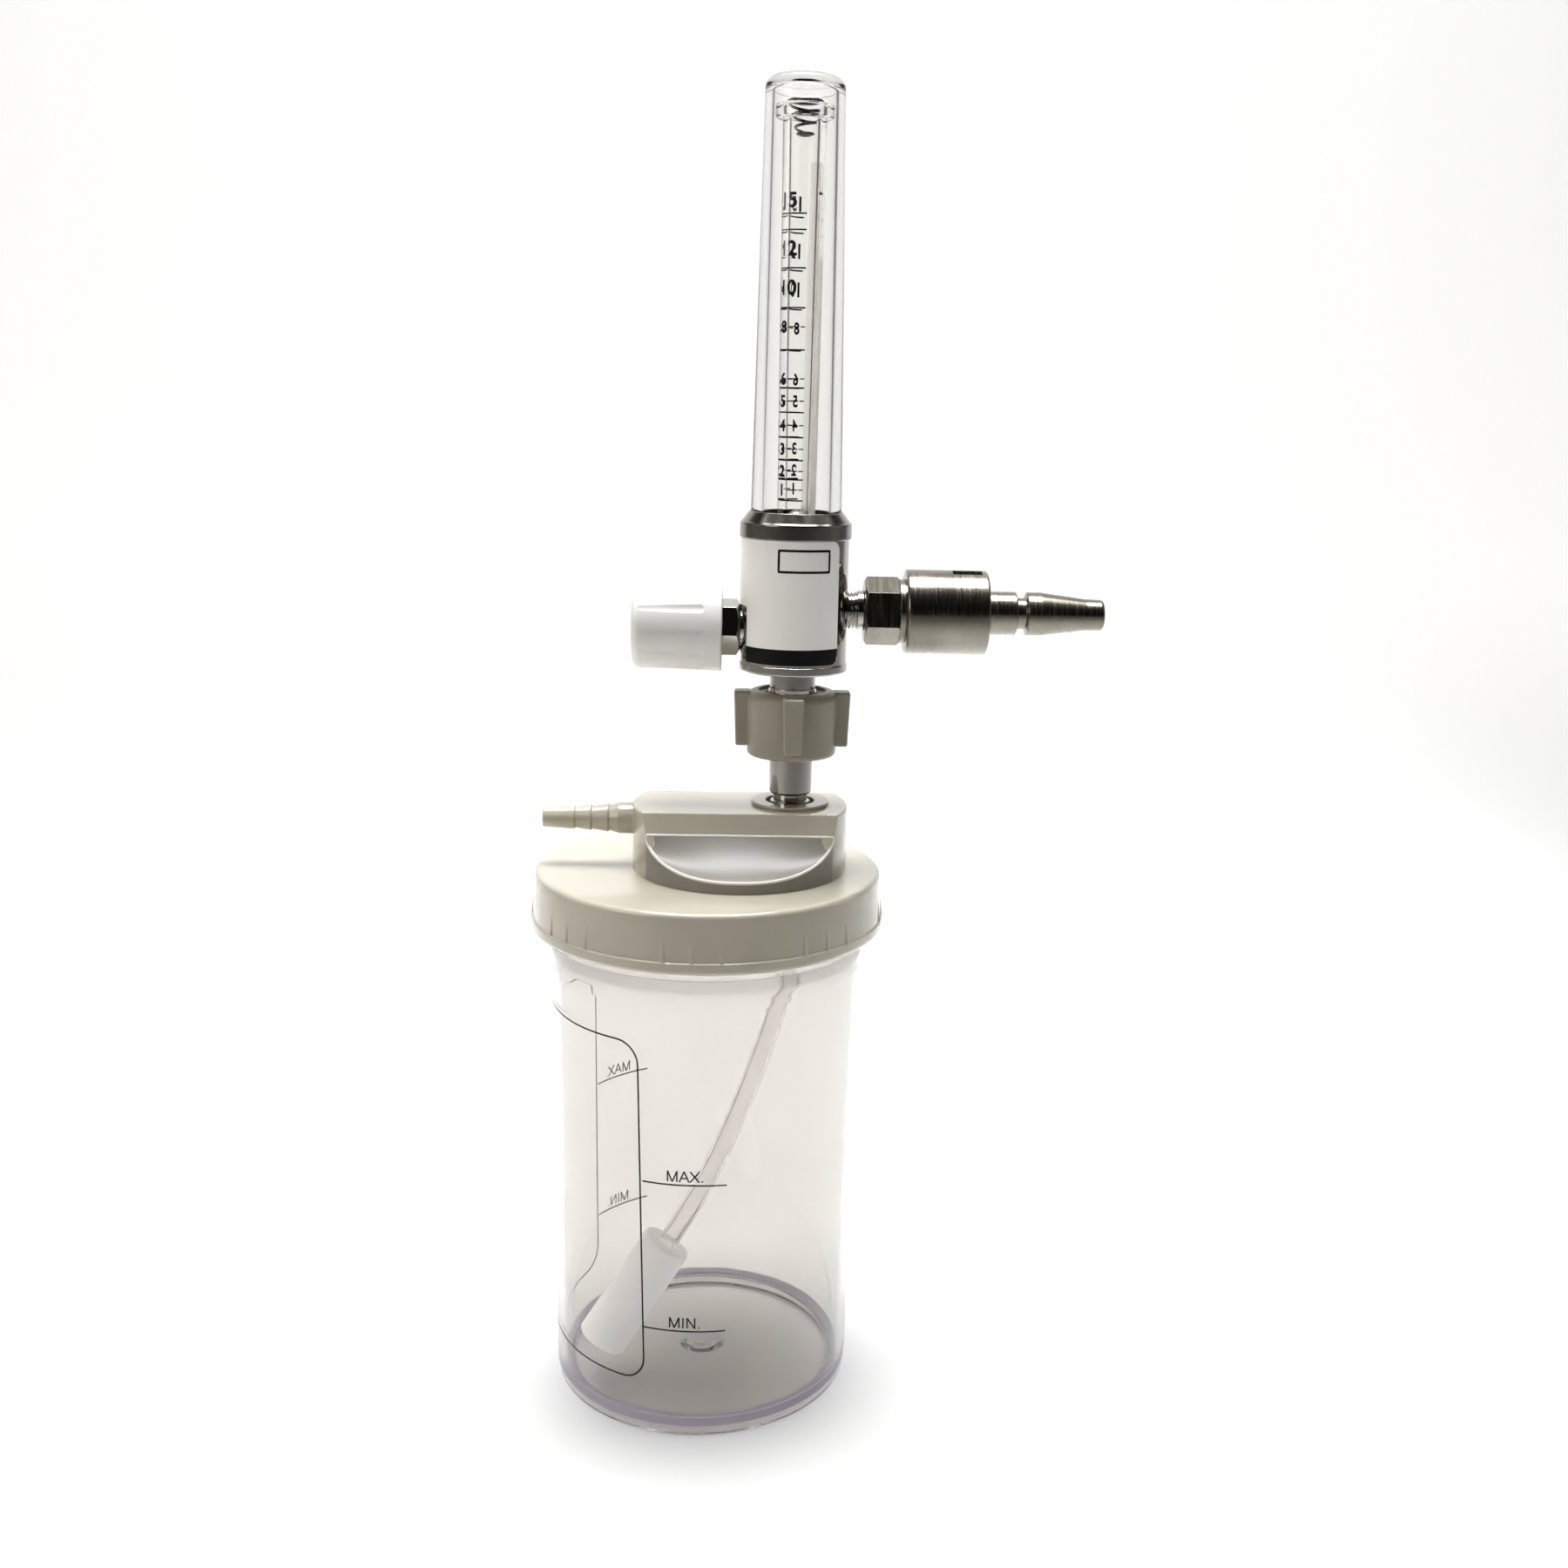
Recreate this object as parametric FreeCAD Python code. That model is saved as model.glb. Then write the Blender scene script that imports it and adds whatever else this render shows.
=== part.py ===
import FreeCAD, Part
import math
import os

# Wall-outlet oxygen flowmeter on a humidifier bottle, in millimetres.
# Origin: centre of the bottle's foot. +Z is up, +X points along the gas probe.

V = FreeCAD.Vector
UP = V(0, 0, 1)
RIGHT = V(1, 0, 0)

# Bottle
foot_r = 38.9
foot_edge = 1.2
foot_ring_w = 3.2
wall_low_r = 39.4
wall_high_r = 40.8
bottle_wall = 2.0
floor_top_z = 7.0
floor_t = 2.4
gate_r = 5.6
gate_t = 0.7
wall_h = 118.2
flare_h = 4.4
flange_r = 42.8
flange_lip = 0.5
flange_t = 1.8
neck_h = 11.0
neck_r = 41.6
neck_bore_r = 38.2

# Lid moulding
gasket_t = 1.6
lid_top_t = 3.0
lid_gap = 0.6
lid_edge = 1.3
lid_wall = 1.9
skirt_flare = 0.6
bead_out = 0.5
bead_h = 3.15
thread_room = 1.5
rib_groups = 8
ribs_in_group = 3
rib_step_deg = 9.0
rib_turn_deg = -93.6
rib_r = 0.9
rib_out = 0.6
rib_sink = 0.15
rib_h = 7.5

# Housing on the lid
housing_x = 8.1
housing_r = 28.0
housing_h = 17.05
housing_edge = 0.7
face_top_y = 12.6
face_low_y = 14.9
ledge_h = 11.6
scoop_r = 15.5
scoop_y = 27.4
scoop_h = 18.1
scoop_x = 7.6
scoop_half = 26.2
scoop_end_r = 10.0
lip_y = 17.5
lip_h = 6.4
housing_wall = 3.0
barb_h = 12.45
barb_bore_r = 1.5
barb_run = 23.3

# Inlet stem, on the flow axis
flow_x = 21.0
stem_bore_r = 1.2
stem_thread_r = 4.4
stem_r = 5.65
stem_flange_r = 7.1
stem_flange_t = 2.5
stem_foot_r = 5.2
stem_foot_t = 0.9
neck_gap = 2.0
stem_barrel_h = 12.8
nipple_r = 3.8
nipple_h = 5.6
boss_r = 7.8
boss_drop = 3.0
spigot_r = 1.7
spigot_h = 10.0
washer_r = 10.2
washer_hole_r = 6.3
washer_t = 0.9
seal_r = 6.1
seal_t = 1.8
locknut_af = 14.0
locknut_t = 3.2

# Dip tube and diffuser
dip_od = 5.2
dip_id = 3.6
diffuser_r = 6.7
diffuser_h = 31.5
diffuser_socket = 6.0
diffuser_edge = 0.8

# Wing nut
lip_gap = 0.35
lip_t = 2.4
nut_h = 17.0
nut_low_r = 11.5
nut_top_r = 11.95
nut_edge = 2.4
wing_r = 15.05
wing_w = 5.3
wing_taper = 0.5
wing_low = 2.3

# Outlet shank
shank_r = 5.93
shank_show = 5.6
shank_thread_r = 6.7
shank_thread_gap = 0.3
shank_screw_r = 5.3
shank_screw_h = 6.0
shank_bore_r = 2.0
socket_gap = 0.3
face_gap = 0.4

# Flowmeter body
body_r = 13.75
body_flange_r = 14.0
body_flange_t = 2.1
body_h = 34.1
spigot_top_r = 12.35
spigot_top_h = 3.0
well_r = 11.0
well_depth = 2.8
valve_up = 10.8
inlet_up = 15.7
gallery_r = 2.2
return_r = 0.9
return_off = 7.0
label_t = 0.14
label_low = 2.8
label_from_deg = -151.0
label_to_deg = -39.0
label_wing_deg = 56.0
label_wing_h = 16.9
label_corner = 2.3

# Collar, cover and flow tube
collar_r = 14.3
collar_band_h = 3.7
collar_h = 6.6
collar_bevel_r = 13.8
cover_seal_t = 0.8
cover_flange_r = 12.25
cover_flange_t = 1.3
cover_low_r = 11.62
cover_mid_r = 10.5
cover_top_r = 9.8
cover_mid_h = 65.4
cover_room = 9.8
cover_dome_h = 0.8
cover_edge = 2.8
cover_wall_low = 3.15
cover_wall_top = 2.15
cover_roof_t = 3.1
seat_floor_t = 0.4
seat_cup_r = 5.9
seat_cup_h = 3.4
seat_prong_h = 2.0
seat_slot_w = 1.0
tube_seal_t = 0.6
tube_low_r = 4.85
tube_top_r = 5.42
tube_bore_low_r = 2.52
tube_bore_top_r = 3.35
tube_h = 100.7
ball_r = 2.38
guide_r = 7.2
guide_bore_r = 4.7
guide_t = 3.2
spring_low_r = 2.0
spring_top_r = 4.1
spring_h = 10.7
spring_turns = 5
spring_wire_r = 0.38

# Needle valve and knob
bonnet_af = 12.8
bonnet_turn_deg = 19.0
bonnet_show = 7.2
bonnet_thread_r = 5.0
bonnet_thread_l = 5.75
spindle_r = 2.2
spindle_gap = 0.08
chamber_r = 3.0
chamber_l = 3.0
orifice_r = 1.35
needle_tip_r = 0.5
needle_l = 3.4
spindle_seal_t = 1.4
spindle_groove = 0.65
knob_r = 11.4
knob_end_r = 10.95
knob_l = 22.8
knob_gap = 4.65
knob_edge = 2.2
knob_cup_r = 8.9
knob_cup_l = 6.2
knob_hub_r = 2.8
flute_count = 12
flute_r = 2.4
flute_depth = 0.5
flute_stop = 5.6
cap_r = 6.5
cap_t = 1.2
screw_head_r = 3.0
screw_head_t = 1.6
screw_r = 1.5
screw_l = 7.0

# Inlet and gas probe
nipple_thread_r = 4.95
nipple_in = 6.2
nipple_show = 2.5
nipple_ring_r = 5.2
nipple_ring_t = 1.65
nipple_end_r = 4.0
nipple_end_l = 4.8
filter_r = 2.75
filter_t = 2.6
probe_hex_af = 15.25
probe_hex_l = 9.0
probe_hex_turn_deg = 7.7
probe_neck_r = 8.3
probe_neck_l = 1.5
probe_collar_r = 10.85
probe_collar_l = 21.1
probe_screw_r = 6.0
probe_screw_l = 11.0
probe_seal_t = 1.0
nose_head_t = 4.0
nose_r = 5.6
nose_step = 0.4
nose_relief = 0.4
nose_shank = 7.7
groove_r = 4.05
groove_l = 2.8
nose_land = 3.6
nose_taper_l = 11.7
nose_tip_r = 3.95
nose_tip_l = 4.8
probe_bore_r = 1.5
key_w = 3.2
key_l = 7.6
key_depth = 1.1
key_turn_deg = 12.0

# Heights that follow
flange_low_z = wall_h + flare_h
flange_top_z = flange_low_z + flange_t
rim_z = flange_top_z + neck_h
lid_under_z = rim_z + gasket_t
lid_top_z = lid_under_z + lid_top_t
lid_low_z = flange_top_z + lid_gap
skirt_bore_r = neck_r + thread_room
lid_top_r = skirt_bore_r + lid_wall
skirt_low_r = lid_top_r + skirt_flare
bead_r = skirt_low_r + bead_out
housing_top_z = lid_top_z + housing_h
barb_z = lid_top_z + barb_h
boss_low_z = lid_under_z - boss_drop
stem_foot_z = housing_top_z
barrel_low_z = stem_foot_z + stem_foot_t + neck_gap
stem_flange_z = barrel_low_z + stem_barrel_h
stem_flange_top_z = stem_flange_z + stem_flange_t
stem_low_z = boss_low_z - locknut_t
nut_low_z = stem_flange_z - lip_t - 0.15
nut_top_z = nut_low_z + nut_h
shank_low_z = stem_flange_top_z + face_gap
body_low_z = nut_top_z + shank_show - 0.4
body_top_z = body_low_z + body_h
spigot_top_z = body_top_z + spigot_top_h
well_z = spigot_top_z - well_depth
valve_z = body_low_z + valve_up
inlet_z = body_low_z + inlet_up
collar_top_z = body_top_z + collar_h
cover_low_z = spigot_top_z + cover_seal_t
cover_flange_z = cover_low_z + cover_flange_t
seat_floor_z = well_z + seat_floor_t
tube_low_z = seat_floor_z + tube_seal_t
tube_top_z = tube_low_z + tube_h
cover_top_z = tube_top_z + cover_room
prong_z = seat_floor_z + seat_prong_h
roof_z = cover_top_z + cover_dome_h - cover_roof_t

# Lengths along the valve and the probe
body_left_x = flow_x - body_r
body_right_x = flow_x + body_r
bonnet_left_x = body_left_x - bonnet_show
bonnet_end_x = body_left_x + bonnet_thread_l
seat_x = bonnet_end_x + chamber_l
knob_right_x = body_left_x - knob_gap
knob_left_x = knob_right_x - knob_l
cup_x = knob_right_x - knob_cup_l
cap_x = knob_left_x + cap_t
spindle_left_x = cap_x + screw_head_t + 0.1
spindle_seal_x = bonnet_end_x - 3.0
nipple_ring_x = body_right_x + nipple_show
adaptor_x = nipple_ring_x + nipple_ring_t
nipple_end_x = adaptor_x + nipple_end_l
neck_x = adaptor_x + probe_hex_l
collar_x = neck_x + probe_neck_l
screw_end_x = collar_x + probe_screw_l
nose_head_x = screw_end_x + probe_seal_t
nose_head_end_x = nose_head_x + nose_head_t
collar_end_x = collar_x + probe_collar_l
groove_x = collar_end_x + nose_shank
land_x = groove_x + groove_l
taper_x = land_x + nose_land
tip_x = taper_x + nose_taper_l
nose_end_x = tip_x + nose_tip_l


# Drawing helpers

def outline(points, place):
    """Closed wire through (a, b) points; a third number rounds that corner."""
    count = len(points)
    corners = []
    for i, point in enumerate(points):
        here = place(point[0], point[1])
        radius = point[2] if len(point) > 2 else 0
        if radius == 0:
            corners.append((here, None, here))
            continue
        before = place(*points[i - 1][:2]) - here
        after = place(*points[(i + 1) % count][:2]) - here
        before.normalize()
        after.normalize()
        half = before.getAngle(after) / 2
        reach = radius / math.tan(half)
        inward = (before + after).normalize() * (radius / math.sin(half) - radius)
        corners.append((here + before * reach, here + inward, here + after * reach))
    edges = []
    for i, (enter, middle, leave) in enumerate(corners):
        if middle is not None:
            edges.append(Part.Arc(enter, middle, leave).toShape())
        following = corners[(i + 1) % count][0]
        if leave.distanceToPoint(following) > 1e-6:
            edges.append(Part.LineSegment(leave, following).toShape())
    return Part.Wire(edges)


def turned(points, axis_x=0.0):
    """Solid turned about a vertical axis, from (radius, height) points."""
    wire = outline(points, lambda r, z: V(axis_x + r, 0, z))
    return Part.Face(wire).revolve(V(axis_x, 0, 0), UP, 360)


def turned_x(points, axis_z):
    """Solid turned about an axis along X, from (radius, x) points."""
    wire = outline(points, lambda r, x: V(x, 0, axis_z + r))
    return Part.Face(wire).revolve(V(0, 0, axis_z), RIGHT, 360)


def post(r, z0, z1, x=0.0, y=0.0):
    return Part.makeCylinder(r, z1 - z0, V(x, y, z0), UP)


def rod(r, x0, x1, z, y=0.0):
    return Part.makeCylinder(r, x1 - x0, V(x0, y, z), RIGHT)


def box(x0, x1, y0, y1, z0, z1):
    return Part.makeBox(x1 - x0, y1 - y0, z1 - z0, V(x0, y0, z0))


def ring(inner_r, outer_r, z0, z1, x=0.0, edge=0.0):
    return turned([(inner_r, z0, edge), (outer_r, z0, edge), (outer_r, z1, edge), (inner_r, z1, edge)], x)


def ring_x(inner_r, outer_r, x0, x1, z, edge=0.0):
    return turned_x([(inner_r, x0, edge), (outer_r, x0, edge), (outer_r, x1, edge), (inner_r, x1, edge)], z)


def hexagon_x(across_flats, x0, x1, z, turn_deg):
    """Hexagonal bar along X whose first corner stands turn_deg behind straight up."""
    corner_r = across_flats / math.sqrt(3)
    corners = []
    for k in range(6):
        angle = math.radians(turn_deg + 60 * k)
        corners.append(V(x0, corner_r * math.sin(angle), z + corner_r * math.cos(angle)))
    return Part.Face(Part.makePolygon(corners + corners[:1])).extrude(V(x1 - x0, 0, 0))


def hexagon_z(across_flats, z0, z1, x):
    corner_r = across_flats / math.sqrt(3)
    corners = [V(x + corner_r * math.cos(k * math.pi / 3), corner_r * math.sin(k * math.pi / 3), z0)
               for k in range(6)]
    return Part.Face(Part.makePolygon(corners + corners[:1])).extrude(V(0, 0, z1 - z0))


# Bottle and lid

def bottle():
    """Clear blown bottle: foot ring, tapered wall, flared flange and plain neck."""
    foot_in_r = foot_r - foot_ring_w
    under_z = floor_top_z - floor_t
    return turned([
        (0, under_z - gate_t), (gate_r, under_z - gate_t), (gate_r + 0.4, under_z),
        (foot_in_r - 0.6, under_z, 1.2), (foot_in_r, 0, 0.6), (foot_r, 0, foot_edge),
        (wall_low_r, 3.5, 2.0), (wall_high_r, wall_h, 8.0),
        (flange_r - flange_lip, flange_low_z), (flange_r, flange_low_z, 0.3),
        (flange_r, flange_top_z, 0.5), (neck_r, flange_top_z), (neck_r, rim_z, 0.6),
        (neck_bore_r, rim_z, 0.6), (neck_bore_r, flange_low_z, 6.0),
        (wall_high_r - bottle_wall, wall_h - 4.0, 6.0),
        (wall_low_r - bottle_wall, floor_top_z, 3.0), (0, floor_top_z)])


def lid_gasket():
    """Flat ring clamped between the bottle's rim and the lid."""
    return ring(neck_bore_r + 0.4, neck_r + 0.6, rim_z, lid_under_z)


def cap_shell():
    bead_top_z = lid_low_z + bead_h
    return turned([
        (0, lid_under_z), (skirt_bore_r, lid_under_z, 0.5), (skirt_bore_r, lid_low_z, 0.4),
        (bead_r, lid_low_z, 1.2), (bead_r, bead_top_z, 0.35), (skirt_low_r, bead_top_z),
        (lid_top_r, lid_top_z, lid_edge), (0, lid_top_z)])


def skirt_rib(angle_deg):
    """Half-round rib that stands proud at the bead and fades into the skirt above."""
    low = V(skirt_low_r + rib_out - rib_r, 0, lid_low_z + bead_h / 2)
    high_z = lid_low_z + bead_h + rib_h
    fall = skirt_flare * rib_h / (lid_top_z - lid_low_z - bead_h)
    high = V(skirt_low_r - fall - rib_sink - rib_r, 0, high_z)
    rib = Part.makeCylinder(rib_r, (high - low).Length, low, high - low)
    rib.rotate(V(0, 0, 0), UP, angle_deg)
    return rib


def finger_scoop(side):
    """Round-ended hollow pressed into one side of the housing, up to the ledge."""
    hollow = rod(scoop_r, scoop_x - scoop_half, scoop_x + scoop_half,
                 lid_top_z + scoop_h, side * scoop_y)
    ends = [edge for edge in hollow.Edges if edge.Length > scoop_r and edge.BoundBox.XLength < 0.1]
    hollow = hollow.makeFillet(scoop_end_r, ends)
    below = box(housing_x - housing_r, housing_x + housing_r, -2 * housing_r, 2 * housing_r,
                lid_top_z, lid_top_z + ledge_h)
    return hollow.common(below)


def housing_block():
    """Round housing with two flat upper faces and a finger scoop under each."""
    reach = housing_r + 1
    wire = outline([
        (-reach, -1), (reach, -1), (reach, lip_h), (lip_y, lip_h), (face_low_y, ledge_h),
        (face_top_y, housing_h, housing_edge), (-face_top_y, housing_h, housing_edge),
        (-face_low_y, ledge_h), (-lip_y, lip_h), (-reach, lip_h)],
        lambda y, z: V(housing_x - reach, y, lid_top_z + z))
    prism = Part.Face(wire).extrude(V(2 * reach, 0, 0))
    drum = turned([(0, lid_top_z - 1), (housing_r, lid_top_z - 1),
                   (housing_r, housing_top_z, housing_edge), (0, housing_top_z)], housing_x)
    block = drum.common(prism)
    block = block.cut([finger_scoop(-1), finger_scoop(1)])
    return block


def housing_pocket():
    """Hollow under the housing, open to the bottle."""
    inner = post(housing_r - housing_wall, lid_under_z - 1, housing_top_z - housing_wall, housing_x)
    reach_y = face_top_y - housing_wall
    band = box(housing_x - housing_r, housing_x + housing_r, -reach_y, reach_y,
               lid_under_z - 1, housing_top_z)
    return inner.common(band)


def hose_barb():
    """Stepped and tapered hose tail."""
    root_x = housing_x - housing_r
    end_x = root_x - barb_run
    steps = [(2.72, end_x, 0.5), (3.15, end_x + 8.2, 0.2), (2.85, end_x + 8.6), (3.45, end_x + 12.4, 0.2),
             (3.1, end_x + 12.85), (3.78, end_x + 16.9, 0.2), (3.42, end_x + 17.4), (4.1, end_x + 19.6, 0.6),
             (4.2, root_x), (4.2, root_x + housing_wall), (0, root_x + housing_wall), (0, end_x)]
    return turned_x(steps, barb_z)


def lid():
    """Screw lid, housing and hose tail: one moulding."""
    shape = cap_shell().fuse(housing_block())
    ribs = []
    for group in range(rib_groups):
        for k in range(ribs_in_group):
            offset = (k - (ribs_in_group - 1) / 2) * rib_step_deg
            ribs.append(skirt_rib(rib_turn_deg + 360 / rib_groups * group + offset))
    shape = shape.fuse(ribs)
    shape = shape.cut(housing_pocket())
    boss = post(boss_r, boss_low_z, housing_top_z - 1, flow_x)
    shape = shape.fuse([boss, hose_barb()])
    root_x = housing_x - housing_r
    cuts = [post(stem_thread_r + 0.1, boss_low_z - 1, housing_top_z + 1, flow_x),
            post(seal_r, housing_top_z - seal_t, housing_top_z + 1, flow_x),
            rod(barb_bore_r, root_x - barb_run - 1, root_x + housing_wall + 2, barb_z)]
    return shape.cut(cuts)


# Stem through the lid

def inlet_stem():
    """Plated stem: spigot, thread, foot, barrel, captive flange and nipple."""
    groove_low = stem_flange_top_z + nipple_h - 2.6
    return turned([
        (stem_bore_r, stem_low_z - spigot_h, 0.2), (spigot_r, stem_low_z - spigot_h, 0.2),
        (spigot_r, stem_low_z), (stem_thread_r, stem_low_z, 0.5), (stem_thread_r, stem_foot_z),
        (stem_foot_r, stem_foot_z), (stem_foot_r, stem_foot_z + stem_foot_t, 0.3),
        (stem_thread_r, stem_foot_z + stem_foot_t, 0.2), (stem_thread_r, barrel_low_z),
        (stem_r - 0.6, barrel_low_z), (stem_r, barrel_low_z + 0.6), (stem_r, stem_flange_z),
        (stem_flange_r, stem_flange_z, 0.3), (stem_flange_r, stem_flange_top_z, 0.3),
        (nipple_r, stem_flange_top_z), (nipple_r, groove_low), (nipple_r - 0.7, groove_low),
        (nipple_r - 0.7, groove_low + 1.4), (nipple_r, groove_low + 1.4),
        (nipple_r, stem_flange_top_z + nipple_h, 0.5), (stem_bore_r, stem_flange_top_z + nipple_h)],
        flow_x)


def nipple_seal():
    mid_z = stem_flange_top_z + nipple_h - 1.9
    return ring(nipple_r - 0.7, nipple_r + socket_gap - 0.1, mid_z - 0.6, mid_z + 0.6, flow_x, 0.35)


def stem_seal():
    return ring(stem_thread_r, seal_r, housing_top_z - seal_t, housing_top_z, flow_x, 0.3)


def stem_washer():
    return ring(washer_hole_r, washer_r, housing_top_z, housing_top_z + washer_t, flow_x, 0.3)


def stem_locknut():
    nut = hexagon_z(locknut_af, boss_low_z - locknut_t, boss_low_z, flow_x)
    return nut.cut(post(stem_thread_r, boss_low_z - locknut_t - 1, boss_low_z + 1, flow_x))


# Dip tube and diffuser

# The dip tube's route, from the stem's spigot down to the diffuser
dip_route = [V(flow_x, 0, stem_low_z), V(21.2, -0.3, 113.5), V(18.9, -1.2, 101.5),
             V(14.7, -2.4, 88.5), V(9.5, -3.7, 74.5), V(3.8, -5.0, 60.8), V(-2.9, -6.5, 47.6),
             V(-12.7, -8.6, 32.6)]


def route_wire(points):
    """Straight runs joined by tangent arcs, each as large as its two runs allow."""
    edges = []
    start = points[0]
    for before, corner, after in zip(points, points[1:], points[2:]):
        into = (before - corner)
        onward = (after - corner)
        reach = 0.45 * min(into.Length, onward.Length)
        into.normalize()
        onward.normalize()
        half = into.getAngle(onward) / 2
        radius = reach * math.tan(half)
        inward = (into + onward).normalize() * (radius / math.sin(half) - radius)
        enter = corner + into * reach
        leave = corner + onward * reach
        edges.append(Part.LineSegment(start, enter).toShape())
        edges.append(Part.Arc(enter, corner + inward, leave).toShape())
        print("dip tube bend radius", round(radius, 1))
        start = leave
    edges.append(Part.LineSegment(start, points[-1]).toShape())
    return Part.Wire(edges)


def swept(wire, radius, start, direction):
    section = Part.Wire(Part.makeCircle(radius, start, direction))
    return wire.makePipeShell([section], True, False)


def dip_tube():
    """Clear bent tube, pushed over the spigot at the top and into the diffuser below."""
    wire = route_wire(dip_route)
    first = dip_route[1] - dip_route[0]
    outside = swept(wire, dip_od / 2, dip_route[0], first)
    inside = swept(wire, dip_id / 2, dip_route[0], first)
    tube = outside.cut(inside)
    print("dip tube length", round(wire.Length, 1), "volume", round(tube.Volume, 1),
          "expected", round(math.pi * (dip_od ** 2 - dip_id ** 2) / 4 * wire.Length, 1))
    return tube


def diffuser():
    """Porous cylinder on the end of the dip tube, with a socket for the tube."""
    along = dip_route[-1] - dip_route[-2]
    angle = math.degrees(UP.getAngle(along))
    mouth = dip_route[-1] - along.normalize() * diffuser_socket
    body = turned([
        (dip_od / 2, 0, 0.3), (diffuser_r, 0, diffuser_edge), (diffuser_r, diffuser_h, diffuser_edge),
        (0, diffuser_h), (0, diffuser_socket), (dip_od / 2, diffuser_socket)])
    body.rotate(V(0, 0, 0), UP.cross(along), angle)
    body.translate(mouth)
    return body


# Wing nut and outlet

def wing_nut():
    """Hand nut with four tapered wings, captive on the stem's flange."""
    thread_bore_r = shank_thread_r + shank_thread_gap
    lip_r = stem_r + lip_gap
    cavity_z = nut_low_z + lip_t
    thread_z = stem_flange_top_z + 0.6
    nut = turned([
        (lip_r, nut_low_z, 0.3), (nut_low_r, nut_low_z, 0.9), (nut_top_r, nut_top_z, nut_edge),
        (thread_bore_r + 1.7, nut_top_z, 0.2), (thread_bore_r + 1.7, nut_top_z - 0.8),
        (thread_bore_r + 0.4, nut_top_z - 0.8), (thread_bore_r, nut_top_z - 1.3),
        (thread_bore_r, thread_z), (stem_flange_r + lip_gap, thread_z),
        (stem_flange_r + lip_gap, cavity_z), (lip_r, cavity_z)], flow_x)
    root_r = nut_low_r - 1.0
    low_z = nut_low_z + wing_low
    high_z = nut_top_z - 0.3
    low_w = wing_w / 2 - wing_taper
    high_w = wing_w / 2
    low_r = wing_r - wing_taper
    low_loop = Part.makePolygon([V(root_r, -low_w, low_z), V(low_r, -low_w, low_z),
                                 V(low_r, low_w, low_z), V(root_r, low_w, low_z),
                                 V(root_r, -low_w, low_z)])
    high_loop = Part.makePolygon([V(root_r, -high_w, high_z), V(wing_r, -high_w, high_z),
                                  V(wing_r, high_w, high_z), V(root_r, high_w, high_z),
                                  V(root_r, -high_w, high_z)])
    blade = Part.makeLoft([low_loop, high_loop], True, True)
    blade = blade.makeFillet(0.6, blade.Edges)
    wings = []
    for k in range(4):
        wing = blade.copy()
        wing.rotate(V(0, 0, 0), UP, 90 * k)
        wing.translate(V(flow_x, 0, 0))
        wings.append(wing)
    return nut.fuse(wings).removeSplitter()


def outlet_shank():
    """Threaded outlet below the body, with the socket for the stem's nipple."""
    socket_r = nipple_r + socket_gap
    socket_z = stem_flange_top_z + nipple_h + 0.6
    thread_top_z = nut_top_z - 1.6
    return turned([
        (socket_r, shank_low_z), (shank_thread_r, shank_low_z, 0.5),
        (shank_thread_r, thread_top_z), (shank_r, thread_top_z + 0.5),
        (shank_r, thread_top_z + 0.9), (shank_r + 0.5, thread_top_z + 1.2),
        (shank_r, thread_top_z + 2.1), (shank_r, body_low_z), (shank_screw_r, body_low_z),
        (shank_screw_r, body_low_z + shank_screw_h, 0.4), (shank_bore_r, body_low_z + shank_screw_h),
        (shank_bore_r, socket_z + 1.0), (socket_r, socket_z)], flow_x)


# Flowmeter body and its label

def flowmeter_body():
    """Plated block with the inlet, valve, return and outlet passages drilled in it."""
    block = turned([
        (0, body_low_z), (body_flange_r, body_low_z, 0.5),
        (body_flange_r, body_low_z + body_flange_t, 0.2), (body_r, body_low_z + body_flange_t + 0.2),
        (body_r, body_top_z), (spigot_top_r, body_top_z), (spigot_top_r, spigot_top_z),
        (well_r, spigot_top_z), (well_r, well_z), (0, well_z)], flow_x)
    cuts = [
        post(shank_screw_r, body_low_z - 1, body_low_z + shank_screw_h, flow_x),
        post(shank_bore_r, body_low_z, valve_z, flow_x),
        rod(orifice_r, seat_x - 1, flow_x, valve_z),
        rod(chamber_r, bonnet_end_x - 1, seat_x, valve_z),
        rod(bonnet_thread_r, body_left_x - 2, bonnet_end_x, valve_z),
        post(return_r, valve_z, well_z + 1, flow_x - return_off),
        rod(nipple_thread_r, body_right_x - nipple_in, body_right_x + 2, inlet_z),
        rod(gallery_r, flow_x, body_right_x, inlet_z),
        post(gallery_r, inlet_z, well_z + 1, flow_x)]
    return block.cut(cuts)


def label_sector(from_deg, to_deg, z0, z1):
    start = outline([(body_r, z0), (body_r + label_t, z0), (body_r + label_t, z1), (body_r, z1)],
                    lambda r, z: V(r, 0, z))
    sector = Part.Face(start).revolve(V(0, 0, 0), UP, to_deg - from_deg)
    sector.rotate(V(0, 0, 0), UP, from_deg)
    sector.translate(V(flow_x, 0, 0))
    return sector


def label_corner_cut(z, up):
    """Block with a quarter round left out, to round a right-hand corner of the label."""
    corner = box(0, 2 * body_r, -label_corner, 2, z - (0 if up else label_corner),
                 z + (label_corner if up else 0))
    keep = Part.makeCylinder(label_corner, 2 * body_r, V(0, -label_corner, z), RIGHT)
    corner = corner.cut(keep)
    corner.rotate(V(0, 0, 0), UP, label_to_deg)
    corner.translate(V(flow_x, 0, 0))
    return corner


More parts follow.
